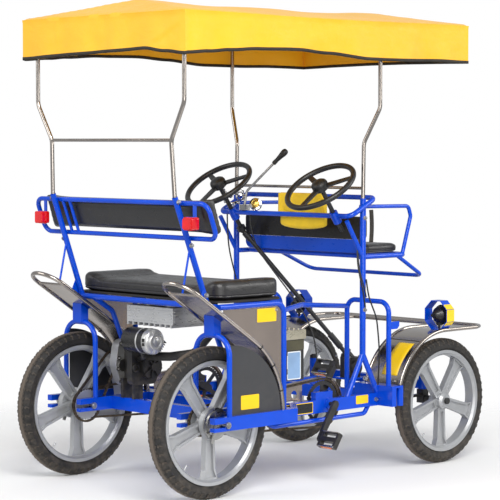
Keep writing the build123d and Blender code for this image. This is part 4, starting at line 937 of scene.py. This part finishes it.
def bolt_table():
    """Hex bolts: a place on the surface, the way that the head points, and its width in millimetres."""
    places = []
    fender_turn = radians(160)
    fender_way = (cos(fender_turn), 0, sin(fender_turn))
    fender_x, fender_z = (FRONT_AXLE[k] + 288.2 * fender_way[2 * k] for k in (0, 1))
    for side in (-1, 1):
        out = (0, side, 0)
        places += [((300, side * 426, 676), out, 9), ((905, side * 372.5, 283), out, 13)]
        places += [(Vector(back_tube(side, z)) + Vector((1, 0, 0)), out, 13) for z in (742, 925, 1082)]
        places += [((POST_X, side * 371, z), out, 12) for z in (372, 640, 1000)]
        places += [((1120, side * 345, 338.2), (0, 0, 1), 12)]
        places += [((fender_x, side * y, fender_z), fender_way, 8) for y in (288, 402)]
    places += [((ENGINE_SHAFT[0] + x, 219, ENGINE_SHAFT[1] + z), (0, -1, 0), 8.5)
               for x, z in ((-26, 74), (28, 70), (-36, 18), (-40, -24), (-26, -74), (14, -84), (44, -30))]
    places += [((354.4, y, z), (1, 0, 0), 7) for y in (-424, -384) for z in (440, 510)]
    places += [((x, y, 404), (0, 0, 1), 8) for x in (1122, 1178) for y in (-24, 52)]
    return places


class SURREY_OT_bolts(bpy.types.Operator):
    """Hex bolts with washers at the frame's joints and brackets"""
    bl_idname = "surrey.bolts"
    bl_label = "Bolts"

    def execute(self, context):
        bm = bmesh.new()
        for place, way, width in bolt_table():
            start, way = Vector(place), Vector(way)
            radius = sizes().bolt_across * 1000 / 13 * width / 2
            washer, head, thread = 1.1, 1.1 + 0.55 * width, 1.5 + 0.62 * width
            add_rod(bm, start - 0.6 * way, start + washer * way, radius * 1.45, 18)
            add_rod(bm, start + washer * way, start + head * way, radius * 1.12, 6, radius * 1.06)
            add_rod(bm, start + head * way, start + thread * way, radius * 0.52, 10)
        piece("frame_bolts", bm, "Bolt zinc", sharp=30)
        return {"FINISHED"}


# Flat labels: finish, low corner, high corner; each is bare.
LABELS = [
    ("Blank label", (85, -464.7, 325), (176, -464.0, 377)),
    ("Blank label", (203, -426.7, 634), (301, -426.0, 684)),
    ("Blank label", (790, -373.2, 273), (859, -372.5, 306)),
    ("Blank label", (394, -373.1, 262), (550, -372.5, 304)),
    ("Blank plate", (397, -373.5, 265), (547, -373.0, 301)),
    ("White border", (376, -408.7, 405), (448, -408.0, 511)),
    ("Pale label", (380, -409.1, 409), (444, -408.6, 507)),
    ("Olive band", (357, -408.6, 515), (465, -408.0, 553)),
]
# Strips on the front fenders: name, finish, slot, angles round the axle, places across, radius.
FENDER_STRIPS = [
    ("fender_label_", "Blank label", "canopy_yellow", (123.5, 155.4), (326, 408), 288.5),
    ("fender_seam_", "Black trim", "vinyl_black", (119.6, 120.3), (264, 427), 288.6),
]


class SURREY_OT_labels(bpy.types.Operator):
    """Bare stick-on labels, the bare nameplate and the front fenders' seams"""
    bl_idname = "surrey.labels"
    bl_label = "Labels"

    def execute(self, context):
        for number, (finish, low, high) in enumerate(LABELS):
            bm = bmesh.new()
            add_block(bm, low, high)
            bevel(bm, edges_along(bm.edges, 1, 0.0003), 0.004, 4)
            piece(f"label_{number + 1}", bm, finish, sharp=30)
        for side, name in ((-1, "right"), (1, "left")):
            for tag, finish, slot, angles, places, radius in FENDER_STRIPS:
                bm = grid(24, 4)
                for vert in bm.verts:
                    turn = radians(angles[0] + (angles[1] - angles[0]) * (vert.co.x + 0.5))
                    y = side * (places[0] + (places[1] - places[0]) * (vert.co.y + 0.5))
                    vert.co = row(FRONT_AXLE[0] + radius * cos(turn), y, FRONT_AXLE[1] + radius * sin(turn))
                thicken(piece(tag + name, bm, finish, sharp=60), 0.0006)
        return {"FINISHED"}


HEADLAMP = (1250, 400, 598)
LENS = [(0, 33.5), (12, 33.0), (22, 31.6), (29, 29.4), (32.6, 26.6), (32.6, 24.0)]
LENS_RIM = [(31.5, 25.4), (33.5, 29.0), (37.0, 29.2), (40.4, 25.5), (40.6, 14.0), (39.6, 11.5), (38.2, 11.0)]
RIM_RIBS = 16
# Tape on the guard's outer facets: the facet's angle, the tape's width in metres, and its shift along the facet.
TAPES = [(0, 0.0478, 0), (45, 0.026, -10.5), (-45, 0.020, 13.5)]
# Cranks: side, body and angle at rest in degrees. Where they stand across in millimetres, and in metres the arm's
# length and how far out the pedal is.
CRANKS = {"right": (-1, "right_cranks", 124), "left": (1, "left_cranks", 27)}
CRANK_Y, CRANK_ARM, PEDAL_OUT = 360, 0.150, 0.098
TAIL_LAMP_Y, TAIL_LAMP_Z = 425, 1007


class SURREY_OT_lamps(bpy.types.Operator):
    """Headlamp glass and rims, yellow tape on the guards, tail lamp bezels, pedal reflectors"""
    bl_idname = "surrey.lamps"
    bl_label = "Lamps and reflectors"

    def execute(self, context):
        x, y, z = HEADLAMP
        glass, rims, tape = bmesh.new(), bmesh.new(), bmesh.new()
        for side in (-1, 1):
            lamp = Vector((x, side * y, z))
            add_turning(glass, LENS, lamp, (1, 0, 0), 40)
            add_turning(rims, LENS_RIM, lamp, (1, 0, 0), 48)
            for k in range(RIM_RIBS):
                turn = tau * k / RIM_RIBS
                out = Vector((0, cos(turn), sin(turn)))
                add_rod(rims, lamp + 31.5 * out - Vector((6, 0, 0)), lamp + 38.2 * out + Vector((12, 0, 0)), 1.1, 6)
            for facet, wide, shift in TAPES:
                turn = radians(facet)
                out, up = Vector((0, side * cos(turn), sin(turn))), Vector((0, -side * sin(turn), cos(turn)))
                facing = Matrix(((1, 0, 0), out, up)).transposed().to_4x4()
                verts = add_cube(tape, Matrix.Translation(row(*(lamp + out * 60.0 + up * shift))) @ facing,
                                 (0.0444, 0.0010, wide))
                bevel(tape, edges_of(verts), 0.0004)
        piece("headlamp_glass", glass, "Lamp glass", sharp=50)
        piece("headlamp_rims", rims, "Lamp black")
        piece("guard_tape", tape, "Frame tape")

        bezels = bmesh.new()
        for side in (-1, 1):
            # two rounded steps behind each lens: how far back it stands, and its half width and half height
            for back, wide, high in ((24, 26.4, 24.4), (41, 21.6, 19.6)):
                near = Vector((back_tube(side, 1008)[0] - back, side * TAIL_LAMP_Y, TAIL_LAMP_Z))
                verts = add_block(bezels, near - Vector((4, wide, high)), near + Vector((0, wide, high)))
                bevel(bezels, edges_along(edges_of(verts), 0, 0.003), 0.008, 4)
        piece("tail_lamp_bezels", bezels, "Lamp red")

        for name, (side, body, angle) in CRANKS.items():
            orange, edge = bmesh.new(), bmesh.new()
            axle = Matrix.Translation(row(CRANK_AXLE[0], side * CRANK_Y, CRANK_AXLE[1]))
            for sign, turn in ((-1, 0), (1, 180)):
                spin = Matrix.Rotation(radians(angle + turn), 4, "Y")
                pedal = axle @ spin @ Matrix.Translation((CRANK_ARM, -side * sign * PEDAL_OUT, 0))
                for dx in (-1, 1):
                    add_cube(orange, pedal @ Matrix.Translation((0.0326 * dx, 0, 0)), (0.0022, 0.052, 0.013))
                    for dz in (-1, 1):
                        add_cube(edge, pedal @ Matrix.Translation((0.0305 * dx, 0, 0.0114 * dz)),
                                 (0.004, 0.084, 0.0022))
            for bm, tag, finish, slot in ((orange, "pedal_reflectors_", "Reflector orange", "lamp_red"),
                                          (edge, "pedal_edges_", "Bolt zinc", "zinc")):
                bevel(bm, list(bm.edges), 0.0005)
                piece(tag + name, bm, finish, body)
        return {"FINISHED"}


# Turned parts as (radius, along) pairs
BELL = [(0, 13.5), (6, 13.0), (8, 10.5), (12, 10.0), (15, 8.6), (15, 6)]
BELL_CASE = [(15, 8.5), (17, 10.5), (24, 9.0), (26, 4), (26, -4), (22, -9), (0, -9)]
GRIP = [(5.2, -34), (8, -33), (9.2, -28), (8.6, -10), (10.5, 8), (13.2, 24), (13.6, 33), (11.5, 41), (6.5, 45.5),
        (0, 46.5)]
SILENCER_CAP = [(0, 2.0), (11.5, 2.0), (13.0, 1.2), (13.0, -1.5), (14.5, -2.5), (21.5, -2.5), (22.5, -1.2),
                (24.0, 1.0), (30.0, 1.0), (31.5, -0.5), (31.5, -4.0), (33.0, -5.2), (38.0, -6.5), (45.0, -10.5),
                (48.6, -15.0), (49.0, -19.0), (49.0, -33.6), (48.1, -33.6)]
SILENCER_RING = [(48.1, -72), (49.2, -71.4), (49.2, -66), (48.1, -65.4)]
PUCK = [(0, 17), (12, 16.2), (23, 13), (30, 7.5), (33, 0), (33, -7), (30, -9), (0, -9)]
TIE = [(8.1, -2.2), (9.6, -2.2), (9.6, 2.2), (8.1, 2.2)]
BELL_PLACE, BELL_WAY = (770, 172, 1043), (-0.72, -0.66, 0.2)
SILENCER_END = (50, -40, 545)
COLUMN_HUB, COLUMN_TILT = (673, 290, 1124), radians(55)
# Rear fender tube: place along and above the ground of its centre, and its radius.
FENDER_ARC = (-19, 302, 320)
# Stems on the dash: start, end, radius, sides.
STEMS = [((770, 172, 1034), (760, 172, 1015), 5, 14), ((728, -287, 1058), (745, -275, 1020), 4, 12),
         ((786, -283, 960), (784, -283, 1000), 4, 12)]
# Switches and cable ends on the dash: place, the way that each points, radius, length.
SWITCHES = [((744, 300, 1076), (0, 1, 0.2), 9, 26), ((752, 262, 1048), (1, 0.3, 0), 7, 30),
            ((734, 318, 1060), (0, 0.2, 1), 6, 30), ((770, 240, 1070), (1, 1, 1), 5, 34),
            ((716, 300, 1098), (-1, 0, 1), 4.5, 40), ((790, 330, 1040), (0, 1, 0), 8, 22)]


class SURREY_OT_controls(bpy.types.Operator):
    """Control cluster, bell, lever grip, silencer cap, battery lid bars, wheel pucks and cable ties"""
    bl_idname = "surrey.controls"
    bl_label = "Controls and trim"

    def execute(self, context):
        chrome, bell = bmesh.new(), bmesh.new()
        add_turning(chrome, BELL_CASE, BELL_PLACE, BELL_WAY, 32)
        add_turning(bell, BELL, BELL_PLACE, BELL_WAY, 28)
        piece("bell_face", bell, "Brass")
        for x, z, half in ((760, 1090, 8), (764, 1074, 5)):
            add_turning(chrome, [(15, -half), (19, -half + 2), (19, half - 2), (15, half)], (x, 258, z),
                        (0.3, 1, 0.1), 24)
        for start, end, radius, sides in STEMS:
            add_rod(chrome, start, end, radius, sides)
        for place, way, wide, long in SWITCHES:
            end = long / 2
            add_turning(chrome, [(0, -end), (wide * 0.7, -end), (wide, 3 - end), (wide, -2), (wide * 0.72, 0),
                                 (wide, 2), (wide, end - 4), (wide * 0.6, end), (0, end)], place, way, 20)
        piece("control_fittings", chrome, "Chrome")

        grip = bmesh.new()
        add_turning(grip, GRIP, (844, 112, 1231), (84, -103, 136), 28)
        piece("lever_grip", grip, "Black trim")

        cap = bmesh.new()
        for profile in (SILENCER_CAP, SILENCER_RING):
            add_turning(cap, profile, SILENCER_END, (0, -1, 0), 64)
        piece("silencer_cap", cap, "Silencer cap")
        window = bmesh.new()
        for z0, z1 in ((531, 543), (546, 559)):
            add_block(window, (-0.6, -24, z0), (3.2, -12, z1), 0.5)
        piece("silencer_window", window, "Black trim")

        lid = bmesh.new()
        low, high = corners("battery_lid")
        for i in range(9):
            for j in range(10):
                place = Matrix.Translation((low.x + 0.009 + i * 0.0127, low.y + 0.008 + j * 0.0124, high.z))
                turn = Matrix.Rotation(radians(45 if (i + j) % 2 else -45), 4, "Z")
                bmesh.ops.create_icosphere(lid, subdivisions=1, radius=1.0,
                                           matrix=place @ turn @ Matrix.Diagonal((0.0062, 0.0019, 0.0011, 1)))
        piece("battery_lid_bars", lid, "Battery lid steel", sharp=60)

        away = Vector((-cos(COLUMN_TILT), 0, sin(COLUMN_TILT)))
        for name, side, body in (("driver", 1, "driver_column"), ("passenger", -1, "passenger_column")):
            puck = bmesh.new()
            hub = Vector((COLUMN_HUB[0], side * COLUMN_HUB[1], COLUMN_HUB[2]))
            add_turning(puck, PUCK, hub + away * 10, away, 36)
            piece("puck_" + name, puck, "Black trim", body)

        ties = bmesh.new()
        x, z, radius = FENDER_ARC
        for side in (-1, 1):
            for turn in (radians(14), radians(33), radians(50)):
                centre = (x + radius * cos(turn), side * 462, z + radius * sin(turn))
                add_turning(ties, TIE, centre, (-sin(turn), 0, cos(turn)), 20)
        piece("cable_ties", ties, "Black trim")
        return {"FINISHED"}


# Cables: name, route, diameter and length in metres.
CABLES = [
    ("cable_right", [(826, -352, 918), (812, -356, 880), (806, -364, 820), (814, -372, 760), (829, -376, 705),
                     (838, -376, 650)], 0.006, 0.275),
    ("cable_right_two", [(838, -348, 922), (822, -350, 880), (818, -358, 820), (822, -368, 770), (834, -377, 725),
                         (842, -377, 690)], 0.005, 0.24),
    ("cable_left", [(746, 316, 1000), (748, 318, 950), (760, 322, 860), (792, 330, 780), (822, 340, 720),
                    (838, 346, 660)], 0.006, 0.357),
    ("cable_post", [(845, -374, 760), (850, -379, 700), (868, -384, 655), (893, -384, 610), (906, -380, 560),
                    (922, -374, 480), (928, -366, 400), (926, -362, 322)], 0.006, 0.452),
    ("cable_shaft", [(762, 198, 997), (763, 198, 955), (785, 180, 860), (840, 130, 760), (878, 60, 660),
                     (902, -10, 560), (905, -50, 440), (890, -62, 340)], 0.006, 0.742),
]


class SURREY_OT_cables(bpy.types.Operator):
    """Black control cables that hang between the dash and the rails"""
    bl_idname = "surrey.cables"
    bl_label = "Cables"

    def execute(self, context):
        for name, route, diameter, length in CABLES:
            curve = bpy.data.curves.new(name, "CURVE")
            curve.dimensions = "3D"
            curve.bevel_depth = diameter / 2
            curve.bevel_resolution = 4
            curve.resolution_u = 12
            spline = curve.splines.new("NURBS")
            spline.points.add(len(route) - 1)
            for point, place in zip(spline.points, route):
                point.co = (*row(*place), 1.0)
            spline.order_u = 3
            spline.use_endpoint_u = True
            made = show(name, curve)
            curve.materials.append(FINISHES["Cable black"])
            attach(made, "chassis")
        return {"FINISHED"}


# Stage: name, place, size and power of each soft light.
LIGHTS = [
    ("key", (-3.2, -4.6, 4.6), (3.2, 3.2), 330),
    ("side", (4.2, -4.4, 3.0), (3.0, 3.0), 130),
    ("fill", (-5.2, 2.2, 3.4), (3.4, 3.4), 130),
    ("low", (-2.6, -4.4, 0.9), (3.4, 1.2), 45),
]
LIT_PLACE = Vector((0, 0, 0.75))
# Distances from the middle between which the floor fades out, in metres.
FLOOR_FADE = (1.1, 2.4)
CAMERA_PLACE, CAMERA_LENS = (-5.5405, -5.757, 1.307), 145.404
CAMERA_TURN = (radians(90 - 3.14), 0, radians(46.31 - 90))


class SURREY_OT_stage(bpy.types.Operator):
    """Camera, soft lights, white surroundings and the floor"""
    bl_idname = "surrey.stage"
    bl_label = "Stage"

    def execute(self, context):
        scene = context.scene
        camera = show("camera", bpy.data.cameras.new("camera"))
        camera.data.lens = CAMERA_LENS
        camera.data.sensor_width = 36
        camera.data.clip_end = 100
        camera.location = CAMERA_PLACE
        camera.rotation_euler = CAMERA_TURN
        scene.camera = camera
        scene.view_settings.view_transform = "Standard"

        world = scene.world or bpy.data.worlds.new("surroundings")
        scene.world = world
        world.use_nodes = True
        world.node_tree.nodes.clear()
        g = Graph(world.node_tree)
        path = g.add("ShaderNodeLightPath").outputs
        seen = g.math("MAXIMUM", path["Is Camera Ray"], path["Is Transmission Ray"])
        white = g.add("ShaderNodeBackground", {"Color": WHITE, "Strength": 1.0}).outputs[0]
        soft = g.add("ShaderNodeBackground", {"Color": (0.93, 0.96, 1.0, 1), "Strength": 0.55}).outputs[0]
        both = g.add("ShaderNodeMixShader", {0: seen, 1: soft, 2: white}).outputs[0]
        g.add("ShaderNodeOutputWorld", {"Surface": both})

        for name, place, size, power in LIGHTS:
            lamp = bpy.data.lights.new(name, "AREA")
            lamp.shape, lamp.energy = "RECTANGLE", power
            lamp.size, lamp.size_y = size
            lamp.color = (1.0, 0.985, 0.96)
            holder = show(name, lamp)
            holder.location = place
            holder.rotation_euler = (LIT_PLACE - Vector(place)).to_track_quat("-Z", "Y").to_euler()

        bm = bmesh.new()
        bmesh.ops.create_grid(bm, x_segments=8, y_segments=8, size=30.0)
        bmesh.ops.translate(bm, verts=bm.verts, vec=(0, 0, -0.0006))
        floor = show("floor", mesh_of("floor", bm))
        made = bpy.data.materials.new("Studio floor")
        made.use_nodes = True
        g = Graph(made.node_tree)
        shader = made.node_tree.nodes["Principled BSDF"]
        patches = g.remap(g.noise(g.spot(), 0.6, 2.0), 0.3, 0.7)
        g.feed(shader.inputs["Base Color"], g.blend(patches, (0.90, 0.90, 0.90, 1), (0.93, 0.93, 0.93, 1)))
        g.feed(shader.inputs["Roughness"], 0.9)
        g.feed(shader.inputs["Specular IOR Level"], 0.1)
        x, y, _ = g.axes()
        clear = g.add("ShaderNodeBsdfTransparent").outputs[0]
        mixed = g.add("ShaderNodeMixShader", {0: g.remap(g.length(x, y), *FLOOR_FADE), 1: shader.outputs[0],
                                              2: clear}).outputs[0]
        g.feed(made.node_tree.nodes["Material Output"].inputs["Surface"], mixed)
        floor.data.materials.append(made)
        return {"FINISHED"}


class SURREY_OT_finishes(bpy.types.Operator):
    """Makes every finish and gives the frame's nodes theirs"""
    bl_idname = "surrey.finishes"
    bl_label = "Finishes"

    def execute(self, context):
        dressed = set()
        for name, nodes, shade, gloss, patches, dust, relief, depth, more in finish_table(colours()):
            made = make_finish(name, shade, gloss, patches, dust, relief, depth, **more)
            for node in nodes.split():
                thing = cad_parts[node]
                if not thing.material_slots:
                    thing.data.materials.append(made)
                for slot in thing.material_slots:
                    slot.material = made
                dressed.add(node)
        bare = set(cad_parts) - dressed
        if bare:
            raise RuntimeError(f"nodes with no finish: {sorted(bare)}")
        return {"FINISHED"}


OPERATORS = [SURREY_OT_stage, SURREY_OT_finishes, SURREY_OT_cables, SURREY_OT_canopy, SURREY_OT_cushions,
             SURREY_OT_child_pad, SURREY_OT_bag, SURREY_OT_tread, SURREY_OT_chains, SURREY_OT_bolts,
             SURREY_OT_labels, SURREY_OT_lamps, SURREY_OT_controls]


class SURREY_PT_panel(bpy.types.Panel):
    """Sizes, colours and steps of the surrey's dressing"""
    bl_idname = "SURREY_PT_panel"
    bl_label = "Four-wheel surrey"
    bl_space_type = "VIEW_3D"
    bl_region_type = "UI"
    bl_category = "Surrey"

    def draw(self, context):
        layout = self.layout
        for group_of in (context.scene.surrey_sizes, context.scene.surrey_colours):
            box = layout.box()
            for name in group_of.bl_rna.properties.keys():
                if name not in {"rna_type", "name"}:
                    box.prop(group_of, name)
        for operator in OPERATORS:
            layout.operator(operator.bl_idname)


CLASSES = [SurreySizes, SurreyColours, *OPERATORS, SURREY_PT_panel]


def register():
    for item in CLASSES:
        bpy.utils.register_class(item)
    bpy.types.Scene.surrey_sizes = bpy.props.PointerProperty(type=SurreySizes)
    bpy.types.Scene.surrey_colours = bpy.props.PointerProperty(type=SurreyColours)


def unregister():
    del bpy.types.Scene.surrey_colours
    del bpy.types.Scene.surrey_sizes
    for item in reversed(CLASSES):
        bpy.utils.unregister_class(item)


def main():
    register()
    for operator in OPERATORS:
        kind, name = operator.bl_idname.split(".")
        getattr(getattr(bpy.ops, kind), name)()


if __name__ == "__main__":
    main()
